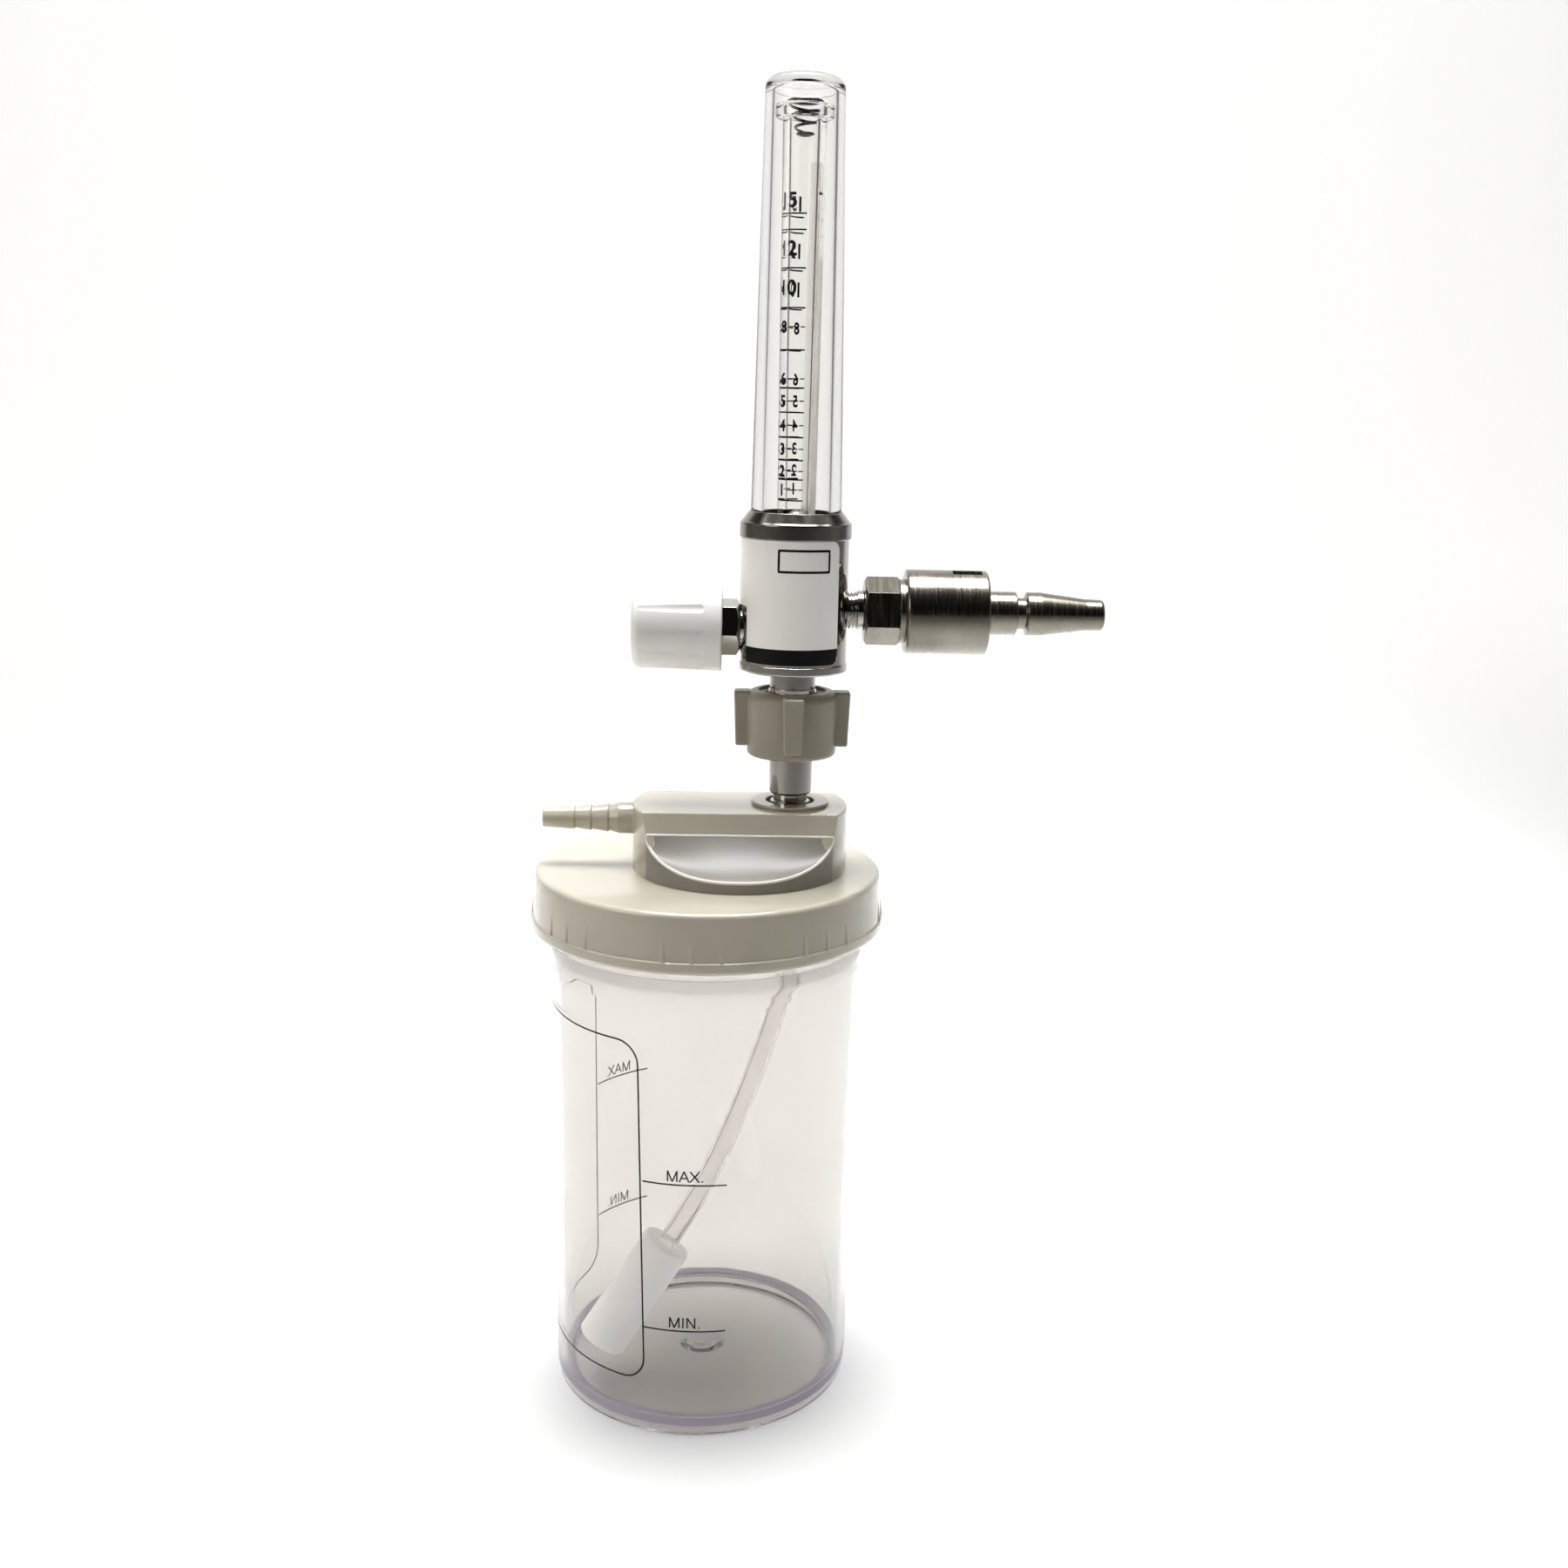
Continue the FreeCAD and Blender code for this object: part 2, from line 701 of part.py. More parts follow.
def body_label():
    """Wrap label with a step cut out of it round the valve."""
    low_z = body_low_z + label_low
    high_z = body_top_z - 0.15
    front = label_sector(label_from_deg, label_to_deg, low_z, high_z)
    wing = label_sector(label_from_deg - label_wing_deg, label_from_deg, high_z - label_wing_h, high_z)
    label = front.fuse(wing)
    label = label.cut([label_corner_cut(high_z - label_corner, True),
                       label_corner_cut(low_z + label_corner, False)])
    return label.removeSplitter()


# Collar, cover and flow tube

def cover_collar():
    """Plated ring that clamps the cover's flange to the body."""
    return turned([
        (spigot_top_r, body_top_z), (collar_r, body_top_z, 0.2),
        (collar_r, body_top_z + collar_band_h, 0.5), (collar_bevel_r, body_top_z + collar_band_h + 0.5),
        (cover_low_r + 0.4, collar_top_z, 0.2), (cover_low_r + 0.12, collar_top_z),
        (cover_low_r + 0.12, cover_flange_z), (spigot_top_r, cover_flange_z)], flow_x)


def cover_seal():
    return ring(well_r + 0.1, cover_flange_r, spigot_top_z, cover_low_z, flow_x, 0.2)


def outer_cover():
    """Clear tapered cover, closed at the top by a low dome."""
    inner_low = cover_low_r - cover_wall_low
    inner_top = cover_top_r - cover_wall_top
    return turned([
        (inner_low + 0.3, cover_low_z), (cover_flange_r, cover_low_z, 0.2),
        (cover_flange_r, cover_flange_z), (cover_low_r, cover_flange_z),
        (cover_mid_r, cover_flange_z + cover_mid_h), (cover_top_r, cover_top_z, cover_edge),
        (0, cover_top_z + cover_dome_h), (0, roof_z), (inner_top, roof_z, 1.4),
        (inner_low, cover_flange_z + 2)], flow_x)


def tube_seat():
    """Cup that carries the flow tube, with slotted prongs under the float."""
    seat = turned([
        (orifice_r, well_z), (seat_cup_r, well_z), (seat_cup_r, well_z + seat_cup_h, 0.3),
        (tube_low_r + 0.1, well_z + seat_cup_h), (tube_low_r + 0.1, seat_floor_z),
        (tube_bore_low_r - 0.06, seat_floor_z), (tube_bore_low_r - 0.06, prong_z, 0.3),
        (orifice_r, prong_z)], flow_x)
    slots = []
    for k in range(2):
        slot = box(-seat_cup_r, seat_cup_r, -seat_slot_w / 2, seat_slot_w / 2,
                   prong_z - 0.9, prong_z + 1)
        slot = slot.common(post(tube_bore_low_r, prong_z - 2, prong_z + 2))
        slot.rotate(V(0, 0, 0), UP, 45 + 90 * k)
        slot.translate(V(flow_x, 0, 0))
        slots.append(slot)
    return seat.cut(slots)


def tube_seal():
    return ring(tube_bore_low_r, tube_low_r, seat_floor_z, tube_low_z, flow_x, 0.2)


def flow_tube():
    """Clear tube whose bore widens upwards."""
    return turned([
        (tube_bore_low_r, tube_low_z), (tube_low_r, tube_low_z, 0.3),
        (tube_top_r, tube_top_z, 0.3), (tube_bore_top_r, tube_top_z)], flow_x)


def tube_guide():
    """Clear ring that centres the top of the flow tube in the cover."""
    return turned([
        (guide_bore_r, tube_top_z, 0.3), (guide_r, tube_top_z, 0.4),
        (guide_r, tube_top_z + guide_t, 0.4), (guide_bore_r, tube_top_z + guide_t, 0.3)], flow_x)


def stop_spring():
    """Conical wire spring that stops the float at the top of the tube."""
    low_z = roof_z - spring_h - spring_wire_r
    spread = math.degrees(math.atan2(spring_top_r - spring_low_r, spring_h))
    path = Part.makeHelix(spring_h / spring_turns, spring_h, spring_low_r, spread)
    path.translate(V(flow_x, 0, low_z))
    start = path.Edges[0].valueAt(path.Edges[0].FirstParameter)
    tangent = path.Edges[0].tangentAt(path.Edges[0].FirstParameter)
    section = Part.Wire(Part.makeCircle(spring_wire_r, start, tangent))
    return Part.Wire(path.Edges).makePipeShell([section], True, True)


def float_ball():
    """Steel ball, resting on the prongs of the tube seat."""
    drop = math.sqrt(ball_r ** 2 - orifice_r ** 2)
    return Part.makeSphere(ball_r, V(flow_x, 0, prong_z + drop + 0.02))


# Needle valve and knob

def valve_bonnet():
    """Hexagonal gland that carries the spindle."""
    corner_r = bonnet_af / math.sqrt(3)
    bar = hexagon_x(bonnet_af, bonnet_left_x, body_left_x, valve_z, bonnet_turn_deg)
    trim = turned_x([
        (0, bonnet_left_x), (corner_r - 0.7, bonnet_left_x), (corner_r + 0.1, bonnet_left_x + 0.6),
        (corner_r + 0.1, body_left_x - 1.0), (corner_r - 1.6, body_left_x), (0, body_left_x)], valve_z)
    thread = rod(bonnet_thread_r, body_left_x, bonnet_end_x, valve_z)
    gland = rod(spindle_r + spindle_gap, bonnet_left_x - 1, bonnet_end_x + 1, valve_z)
    return bar.common(trim).fuse(thread).cut(gland)


def spindle_seal():
    inner_r = spindle_r - spindle_groove + 0.05
    return ring_x(inner_r, spindle_r + 0.03, spindle_seal_x - spindle_seal_t / 2,
                  spindle_seal_x + spindle_seal_t / 2, valve_z, 0.2)


def valve_spindle():
    """Stepped spindle with a needle at the inner end, tapped for the knob's screw."""
    groove_in = spindle_seal_x - spindle_seal_t / 2 - 0.08
    groove_out = spindle_seal_x + spindle_seal_t / 2 + 0.08
    needle_x = seat_x - (spindle_r - orifice_r + 0.07) / (spindle_r - needle_tip_r) * needle_l
    return turned_x([
        (screw_r, spindle_left_x), (knob_hub_r, spindle_left_x, 0.3), (knob_hub_r, cup_x),
        (spindle_r, cup_x), (spindle_r, groove_in), (spindle_r - spindle_groove, groove_in),
        (spindle_r - spindle_groove, groove_out), (spindle_r, groove_out), (spindle_r, needle_x),
        (needle_tip_r, needle_x + needle_l, 0.15),
        (0, needle_x + needle_l), (0, spindle_left_x + screw_l + 0.5),
        (screw_r, spindle_left_x + screw_l)], valve_z)


def control_knob():
    """Fluted hand knob, open towards the body and with a recess for its cap."""
    knob = turned_x([
        (knob_hub_r, spindle_left_x), (screw_head_r + 0.2, spindle_left_x),
        (screw_head_r + 0.2, cap_x), (cap_r, cap_x), (cap_r, knob_left_x, 0.2),
        (knob_end_r, knob_left_x, knob_edge), (knob_r, knob_right_x, 0.4),
        (knob_cup_r, knob_right_x, 0.3), (knob_cup_r, cup_x, 0.8), (knob_hub_r, cup_x)], valve_z)
    centre_r = knob_r - flute_depth + flute_r
    flute_end_x = knob_right_x - flute_stop
    flutes = []
    for k in range(flute_count):
        flute = rod(flute_r, knob_left_x - 2, flute_end_x, valve_z + centre_r)
        flute = flute.fuse(Part.makeSphere(flute_r, V(flute_end_x, 0, valve_z + centre_r)))
        flute.rotate(V(0, 0, valve_z), RIGHT, 360 / flute_count * k)
        flutes.append(flute)
    return knob.cut(flutes)


def knob_screw():
    """Cheese-head screw that holds the knob on the spindle."""
    head = rod(screw_head_r, spindle_left_x - screw_head_t, spindle_left_x, valve_z)
    shaft = rod(screw_r, spindle_left_x, spindle_left_x + screw_l, valve_z)
    slot = box(spindle_left_x - screw_head_t - 1, spindle_left_x - screw_head_t + 0.7,
               -screw_head_r - 1, screw_head_r + 1, valve_z - 0.4, valve_z + 0.4)
    return head.fuse(shaft).cut(slot).removeSplitter()


def knob_cap():
    return turned_x([(0, knob_left_x), (cap_r, knob_left_x, 0.3), (cap_r, cap_x), (0, cap_x)], valve_z)


# Inlet and gas probe

def inlet_nipple():
    """Threaded nipple between the body and the probe, with a ring in the middle."""
    return turned_x([
        (shank_bore_r, body_right_x - nipple_in), (nipple_thread_r, body_right_x - nipple_in, 0.4),
        (nipple_thread_r, nipple_ring_x - 0.3), (nipple_ring_r, nipple_ring_x),
        (nipple_ring_r, adaptor_x, 0.3), (nipple_end_r, adaptor_x), (nipple_end_r, nipple_end_x, 0.3),
        (filter_r, nipple_end_x), (filter_r, nipple_end_x - filter_t),
        (shank_bore_r, nipple_end_x - filter_t)], inlet_z)


def inlet_filter():
    """Sintered disc in the nipple's mouth."""
    return rod(filter_r, nipple_end_x - filter_t, nipple_end_x, inlet_z)


def probe_adaptor():
    """Hexagonal adaptor with a neck and a threaded spigot into the collar."""
    corner_r = probe_hex_af / math.sqrt(3)
    bar = hexagon_x(probe_hex_af, adaptor_x, neck_x, inlet_z, probe_hex_turn_deg)
    trim = turned_x([
        (0, adaptor_x), (corner_r - 1.1, adaptor_x), (corner_r + 0.1, adaptor_x + 0.8),
        (corner_r + 0.1, neck_x - 0.5), (corner_r - 0.6, neck_x), (0, neck_x)], inlet_z)
    neck = rod(probe_neck_r, neck_x, collar_x, inlet_z)
    screw = rod(probe_screw_r, collar_x, screw_end_x, inlet_z)
    cuts = [rod(nipple_end_r, adaptor_x - 1, nipple_end_x, inlet_z),
            rod(shank_bore_r, adaptor_x - 1, screw_end_x + 1, inlet_z)]
    return bar.common(trim).fuse([neck, screw]).cut(cuts).removeSplitter()


def probe_collar():
    """Round collar of the probe with an index slot milled in its edge."""
    collar = turned_x([
        (probe_screw_r, collar_x), (probe_collar_r, collar_x, 0.7),
        (probe_collar_r, collar_end_x, 0.7), (nose_r - nose_step, collar_end_x),
        (nose_r - nose_step, nose_head_end_x),
        (probe_screw_r, nose_head_end_x)], inlet_z)
    high_z = inlet_z + probe_collar_r
    slot = box(collar_end_x - 1.6 - key_l, collar_end_x - 1.6, -key_w / 2, key_w / 2,
               high_z - key_depth, high_z + 1)
    slot.rotate(V(0, 0, inlet_z), RIGHT, key_turn_deg)
    return collar.cut(slot)


def probe_seal():
    return ring_x(shank_bore_r, probe_screw_r, screw_end_x, nose_head_x, inlet_z, 0.2)


def probe_nose():
    """Plug-in nose: parallel shank, locking groove, land, taper and rounded tip."""
    return turned_x([
        (probe_bore_r, nose_head_x), (probe_screw_r, nose_head_x), (probe_screw_r, nose_head_end_x),
        (nose_r - nose_step, nose_head_end_x), (nose_r - nose_step, collar_end_x + nose_relief),
        (nose_r, collar_end_x + nose_relief), (nose_r, groove_x, 0.4), (groove_r, groove_x + 0.3),
        (groove_r, land_x - 0.4), (nose_r, land_x, 0.3), (nose_r, taper_x),
        (nose_tip_r + 0.15, tip_x, 6.0), (nose_tip_r, nose_end_x, 0.9), (probe_bore_r, nose_end_x, 0.3)],
        inlet_z)


nodes = {
    "bottle": bottle(),
    "lid_gasket": lid_gasket(),
    "lid": lid(),
    "inlet_stem": inlet_stem(),
    "stem_seal": stem_seal(),
    "stem_washer": stem_washer(),
    "stem_locknut": stem_locknut(),
    "nipple_seal": nipple_seal(),
    "dip_tube": dip_tube(),
    "diffuser": diffuser(),
    "wing_nut": wing_nut(),
    "outlet_shank": outlet_shank(),
    "flowmeter_body": flowmeter_body(),
    "body_label": body_label(),
    "cover_collar": cover_collar(),
    "cover_seal": cover_seal(),
    "outer_cover": outer_cover(),
    "tube_seat": tube_seat(),
    "tube_seal": tube_seal(),
    "flow_tube": flow_tube(),
    "tube_guide": tube_guide(),
    "stop_spring": stop_spring(),
    "float_ball": float_ball(),
    "valve_bonnet": valve_bonnet(),
    "spindle_seal": spindle_seal(),
    "valve_spindle": valve_spindle(),
    "control_knob": control_knob(),
    "knob_screw": knob_screw(),
    "knob_cap": knob_cap(),
    "inlet_nipple": inlet_nipple(),
    "inlet_filter": inlet_filter(),
    "probe_adaptor": probe_adaptor(),
    "probe_collar": probe_collar(),
    "probe_seal": probe_seal(),
    "probe_nose": probe_nose(),
}

os.makedirs("parts", exist_ok=True)
for name, shape in nodes.items():
    shape.exportStep(os.path.join("parts", name + ".step"))
    box_size = shape.BoundBox
    print(name, "solids", len(shape.Solids), "valid", shape.isValid(), "volume", round(shape.Volume, 1),
          "z", round(box_size.ZMin, 2), round(box_size.ZMax, 2))
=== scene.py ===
import bpy
import bmesh
import math
from mathutils import Matrix, Vector

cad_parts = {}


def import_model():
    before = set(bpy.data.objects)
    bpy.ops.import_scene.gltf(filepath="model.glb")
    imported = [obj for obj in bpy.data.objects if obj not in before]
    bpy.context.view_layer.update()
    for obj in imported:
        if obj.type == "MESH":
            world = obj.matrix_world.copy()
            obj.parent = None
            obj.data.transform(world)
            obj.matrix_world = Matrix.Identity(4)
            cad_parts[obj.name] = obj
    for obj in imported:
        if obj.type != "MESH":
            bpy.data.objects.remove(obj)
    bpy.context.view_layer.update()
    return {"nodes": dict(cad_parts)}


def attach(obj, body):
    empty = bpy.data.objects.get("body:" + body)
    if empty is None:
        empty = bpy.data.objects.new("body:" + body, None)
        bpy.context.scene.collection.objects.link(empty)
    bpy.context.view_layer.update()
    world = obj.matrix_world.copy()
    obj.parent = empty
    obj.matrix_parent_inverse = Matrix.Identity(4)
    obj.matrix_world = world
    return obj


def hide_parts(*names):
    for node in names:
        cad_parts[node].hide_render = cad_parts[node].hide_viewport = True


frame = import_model()
nodes = frame["nodes"]
MM = 0.001
scene = bpy.context.scene

# Heights and lengths, in mm, as in the part
FLOW_X = 21.0
INLET_Z = 208.1
LABEL_R = 13.89


# Mesh helpers

def rounded(points, arc_steps=6, step=None):
    """Closed outline as (a, b) pairs; a third number on a point rounds that corner."""
    count = len(points)
    line = []
    for i, point in enumerate(points):
        here = Vector(point[:2])
        radius = point[2] if len(point) > 2 else 0
        if radius == 0:
            line.append(here)
            continue
        before = (Vector(points[i - 1][:2]) - here).normalized()
        after = (Vector(points[(i + 1) % count][:2]) - here).normalized()
        half = before.angle(after) / 2
        reach = radius / math.tan(half)
        centre = here + (before + after).normalized() * (radius / math.sin(half))
        start = here + before * reach - centre
        end = here + after * reach - centre
        sweep = start.angle_signed(end)
        for k in range(arc_steps + 1):
            turn = -sweep * k / arc_steps
            line.append(centre + Vector((start.x * math.cos(turn) - start.y * math.sin(turn),
                                         start.x * math.sin(turn) + start.y * math.cos(turn))))
    if step:
        fine = []
        for i, here in enumerate(line):
            following = line[(i + 1) % len(line)]
            fine.append(here)
            if here.x < 1e-6 and following.x < 1e-6:
                continue
            parts = max(1, math.ceil((following - here).length / step))
            for k in range(1, parts):
                fine.append(here.lerp(following, k / parts))
        line = fine
    return [(p.x, p.y) for p in line]


def finish_mesh(name, mesh, body, material, sharp_deg=32, weighted=True):
    bm = bmesh.new()
    bm.from_mesh(mesh)
    bmesh.ops.remove_doubles(bm, verts=bm.verts, dist=1e-7)
    bmesh.ops.recalc_face_normals(bm, faces=bm.faces)
    bm.to_mesh(mesh)
    bm.free()
    mesh.shade_smooth()
    mesh.set_sharp_from_angle(angle=math.radians(sharp_deg))
    piece = bpy.data.objects.new(name, mesh)
    scene.collection.objects.link(piece)
    mesh.materials.append(material)
    if weighted:
        modifier = piece.modifiers.new("flat faces", "WEIGHTED_NORMAL")
        modifier.keep_sharp = True
    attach(piece, body)
    return piece


def lathe(name, points, body, material, x=0.0, axis_z=None, segments=128, arc_steps=6, step=None,
          shape=None, sharp_deg=32):
    """Turned piece. Its axis is vertical at x, or along X at the height axis_z."""
    verts = []
    faces = []
    rings = []
    for r, h in rounded(points, arc_steps, step):
        if r < 1e-5:
            rings.append([len(verts)] * segments)
            spots = [0.0]
        else:
            rings.append(list(range(len(verts), len(verts) + segments)))
            spots = [2 * math.pi * k / segments for k in range(segments)]
        for a in spots:
            reach = shape(r, a, h) if shape and r >= 1e-5 else r
            if axis_z is None:
                verts.append(((x + reach * math.cos(a)) * MM, reach * math.sin(a) * MM, h * MM))
            else:
                verts.append((h * MM, reach * math.sin(a) * MM, (axis_z + reach * math.cos(a)) * MM))
    for i, ring in enumerate(rings):
        following = rings[(i + 1) % len(rings)]
        for k in range(segments):
            loop = [ring[k], ring[(k + 1) % segments], following[(k + 1) % segments], following[k]]
            corners = [v for j, v in enumerate(loop) if v not in loop[:j]]
            if len(corners) > 2:
                faces.append(corners)
    mesh = bpy.data.meshes.new(name)
    mesh.from_pydata(verts, [], faces)
    return finish_mesh(name, mesh, body, material, sharp_deg)


def thread(low, high, pitch, depth, crest_r):
    """Radius function that cuts a screw thread into a turned piece between two heights."""
    def shape(r, a, h):
        if r < crest_r - 0.3 or h < low or h > high:
            return r
        fade = min(1.0, (h - low) / pitch, (high - h) / pitch)
        phase = (h / pitch - a / (2 * math.pi)) % 1.0
        return r - depth * fade * min(1.0, abs(phase - 0.5) * 2.6)
    return shape


# Material helpers

def new_material(name, colour, roughness, metallic=0.0):
    """Principled material; returns it with its node tree and shader."""
    material = bpy.data.materials.new(name)
    material.use_nodes = True
    tree = material.node_tree
    shader = tree.nodes["Principled BSDF"]
    shader.inputs["Base Color"].default_value = (*colour, 1)
    shader.inputs["Roughness"].default_value = roughness
    shader.inputs["Metallic"].default_value = metallic
    return material, tree, shader


def noise(tree, scale, detail=3.0, stretch=(1, 1, 1)):
    place = tree.nodes.new("ShaderNodeTexCoord")
    spread = tree.nodes.new("ShaderNodeMapping")
    spread.inputs["Scale"].default_value = stretch
    tree.links.new(place.outputs["Object"], spread.inputs["Vector"])
    texture = tree.nodes.new("ShaderNodeTexNoise")
    texture.inputs["Scale"].default_value = scale
    texture.inputs["Detail"].default_value = detail
    tree.links.new(spread.outputs["Vector"], texture.inputs["Vector"])
    return texture.outputs["Fac"]


def spread_to(tree, value, low, high):
    """Maps a noise value onto a range."""
    node = tree.nodes.new("ShaderNodeMapRange")
    node.inputs["From Min"].default_value = 0.3
    node.inputs["From Max"].default_value = 0.7
    node.inputs["To Min"].default_value = low
    node.inputs["To Max"].default_value = high
    tree.links.new(value, node.inputs["Value"])
    return node.outputs["Result"]


def tint(tree, value, dark, light):
    node = tree.nodes.new("ShaderNodeValToRGB")
    node.color_ramp.elements[0].position = 0.3
    node.color_ramp.elements[0].color = (*dark, 1)
    node.color_ramp.elements[1].position = 0.7
    node.color_ramp.elements[1].color = (*light, 1)
    tree.links.new(value, node.inputs["Fac"])
    return node.outputs["Color"]


def bump(tree, shader, value, strength, distance, edge=0.0):
    """Fine relief; edge is the radius, in metres, that sharp edges are shaded with."""
    node = tree.nodes.new("ShaderNodeBump")
    if edge:
        round_edge = tree.nodes.new("ShaderNodeBevel")
        round_edge.samples = 6
        round_edge.inputs["Radius"].default_value = edge
        tree.links.new(round_edge.outputs["Normal"], node.inputs["Normal"])
    node.inputs["Strength"].default_value = strength
    node.inputs["Distance"].default_value = distance
    tree.links.new(value, node.inputs["Height"])
    tree.links.new(node.outputs["Normal"], shader.inputs["Normal"])


def plastic(name, dark, light, roughness, grain=900.0, depth=0.00002, sheen_r=0.03, glow=0.0, edge=0.0):
    """Moulded plastic: faint mottling, uneven gloss and a fine moulded skin."""
    material, tree, shader = new_material(name, light, roughness)
    mottle = noise(tree, 70.0, 4.0)
    tree.links.new(tint(tree, mottle, dark, light), shader.inputs["Base Color"])
    tree.links.new(spread_to(tree, noise(tree, 45.0, 3.0), roughness - sheen_r, roughness + sheen_r),
                   shader.inputs["Roughness"])
    bump(tree, shader, noise(tree, grain, 2.0), 0.25, depth, edge)
    shader.inputs["Subsurface Weight"].default_value = glow
    shader.inputs["Subsurface Radius"].default_value = (0.006, 0.0055, 0.005)
    shader.inputs["Subsurface Scale"].default_value = 1.0
    return material


def metal(name, dark, light, roughness, stretch=(1, 1, 1), grain=600.0, strength=0.12, edge=0.0002):
    """Plated metal: slightly uneven tone and gloss, with faint tool marks along one direction."""
    material, tree, shader = new_material(name, light, roughness, 1.0)
    tree.links.new(tint(tree, noise(tree, 60.0, 4.0), dark, light), shader.inputs["Base Color"])
    marks = noise(tree, grain, 3.0, stretch)
    tree.links.new(spread_to(tree, marks, roughness * 0.7, roughness * 1.4), shader.inputs["Roughness"])
    bump(tree, shader, marks, strength, 0.00001, edge)
    return material


def clear(name, colour, roughness=0.02, ior=1.5, waves=0.0, depth=0.0):
    """Clear plastic with faint flow lines in its skin; depth darkens long paths through it."""
    material, tree, shader = new_material(name, colour, roughness)
    shader.inputs["Transmission Weight"].default_value = 1.0
    shader.inputs["IOR"].default_value = ior
    tree.links.new(spread_to(tree, noise(tree, 30.0, 3.0), max(0.0, roughness - 0.015), roughness + 0.02),
                   shader.inputs["Roughness"])
    if waves:
        bump(tree, shader, noise(tree, 40.0, 2.0, (1, 1, 0.35)), waves, 0.0004)
    if depth:
        inside = tree.nodes.new("ShaderNodeVolumeAbsorption")
        inside.inputs["Color"].default_value = (0.5, 0.485, 0.455, 1)
        inside.inputs["Density"].default_value = depth
        tree.links.new(inside.outputs["Volume"], tree.nodes["Material Output"].inputs["Volume"])
    return material


# Materials

IVORY = plastic("ivory_plastic", (0.50, 0.462, 0.37), (0.54, 0.50, 0.405), 0.2, edge=0.0004)
GREY = plastic("grey_plastic", (0.36, 0.33, 0.265), (0.40, 0.37, 0.295), 0.36, edge=0.0003)
WHITE = plastic("white_plastic", (0.90, 0.885, 0.86), (0.94, 0.925, 0.90), 0.3, glow=0.2, edge=0.0003)
# The diffuser's white is its own; the emission set on it below is a painted glow.
POROUS_PAINTED_GLOW = plastic("white_porous", (0.93, 0.925, 0.92), (0.99, 0.985, 0.98), 0.85, 2600.0, 0.0002, 0.05, 0.5)
# The label's colour is its own; the emission set on it below is a painted glow.
LABEL_PAINTED_GLOW = plastic("label_film", (0.88, 0.86, 0.825), (0.91, 0.89, 0.855), 0.36, 1800.0, 0.000005)
# Painted reflection: the bowl's darker grey stands in for reflections on the same ivory moulding.
BOWL_PAINTED_REFLECTION = plastic("bowl_painted_reflection", (0.27, 0.25, 0.225), (0.30, 0.28, 0.25), 0.34)
# Painted highlight: the rim's near-white stands in for the shine along the scoop's rounded edge.
RIM_PAINTED_HIGHLIGHT = plastic("rim_painted_highlight", (0.80, 0.77, 0.71), (0.84, 0.81, 0.75), 0.2)
# Painted glow: a violet ring with emission stands in for how the thick clear foot looks.
FOOT_PAINTED_GLOW = plastic("painted_glow_foot", (0.40, 0.365, 0.45), (0.44, 0.40, 0.49), 0.5)
RUBBER = plastic("seal_rubber", (0.012, 0.012, 0.012), (0.022, 0.021, 0.02), 0.6)
INK = plastic("black_ink", (0.006, 0.006, 0.007), (0.012, 0.012, 0.013), 0.45, 2000.0, 0.000004)
BACKING = plastic("backing_ink", (0.86, 0.83, 0.79), (0.90, 0.87, 0.83), 0.5, 2000.0, 0.000004)
CHROME = metal("chrome_plate", (0.42, 0.405, 0.38), (0.53, 0.515, 0.49), 0.07, (1, 1, 0.15), 500.0, 0.05)
TURNED = metal("turned_nickel", (0.19, 0.175, 0.145), (0.29, 0.27, 0.23), 0.22, (12, 0.4, 0.4), 260.0, 0.3)
COLLAR = metal("collar_plate", (0.24, 0.225, 0.205), (0.33, 0.315, 0.29), 0.14, (1, 1, 0.15), 500.0, 0.05)
STEEL = metal("spring_steel", (0.05, 0.05, 0.055), (0.11, 0.11, 0.12), 0.28, edge=0.0)
BALL = metal("ball_steel", (0.55, 0.55, 0.55), (0.68, 0.68, 0.68), 0.06, edge=0.0)
BRONZE = plastic("sintered_bronze", (0.30, 0.20, 0.09), (0.46, 0.33, 0.16), 0.7, 3000.0, 0.0003)
BOTTLE = clear("clear_bottle", (0.74, 0.715, 0.695), 0.012, 1.42, 0.008, 42.0)
COVER = clear("clear_cover", (0.975, 0.972, 0.965), 0.012, 1.3, depth=26.0)
TUBE = clear("clear_tube", (0.985, 0.98, 0.97), 0.012, 1.3)
HOSE = clear("clear_hose", (0.955, 0.95, 0.945), 0.04, 1.44)


# Painted glow: the diffuser, the label and the foot ring get emission though none of them is a lamp.
for material, name, value in (
        (BACKING, "Transmission Weight", 0.75), (INK, "Specular IOR Level", 0.1),
        (POROUS_PAINTED_GLOW, "Emission Color", (1, 0.985, 0.97, 1)), (POROUS_PAINTED_GLOW, "Emission Strength", 0.22),
        (LABEL_PAINTED_GLOW, "Emission Color", (1, 0.975, 0.94, 1)), (LABEL_PAINTED_GLOW, "Emission Strength", 0.1),
        (FOOT_PAINTED_GLOW, "Emission Color", (0.9, 0.82, 1, 1)), (FOOT_PAINTED_GLOW, "Emission Strength", 0.2),
        (IVORY, "Coat Weight", 0.6), (IVORY, "Coat Roughness", 0.05)):
    material.node_tree.nodes["Principled BSDF"].inputs[name].default_value = value


def wear(node, material):
    """Gives a CAD node its material."""
    piece = nodes[node]
    piece.data.materials.clear()
    piece.data.materials.append(material)


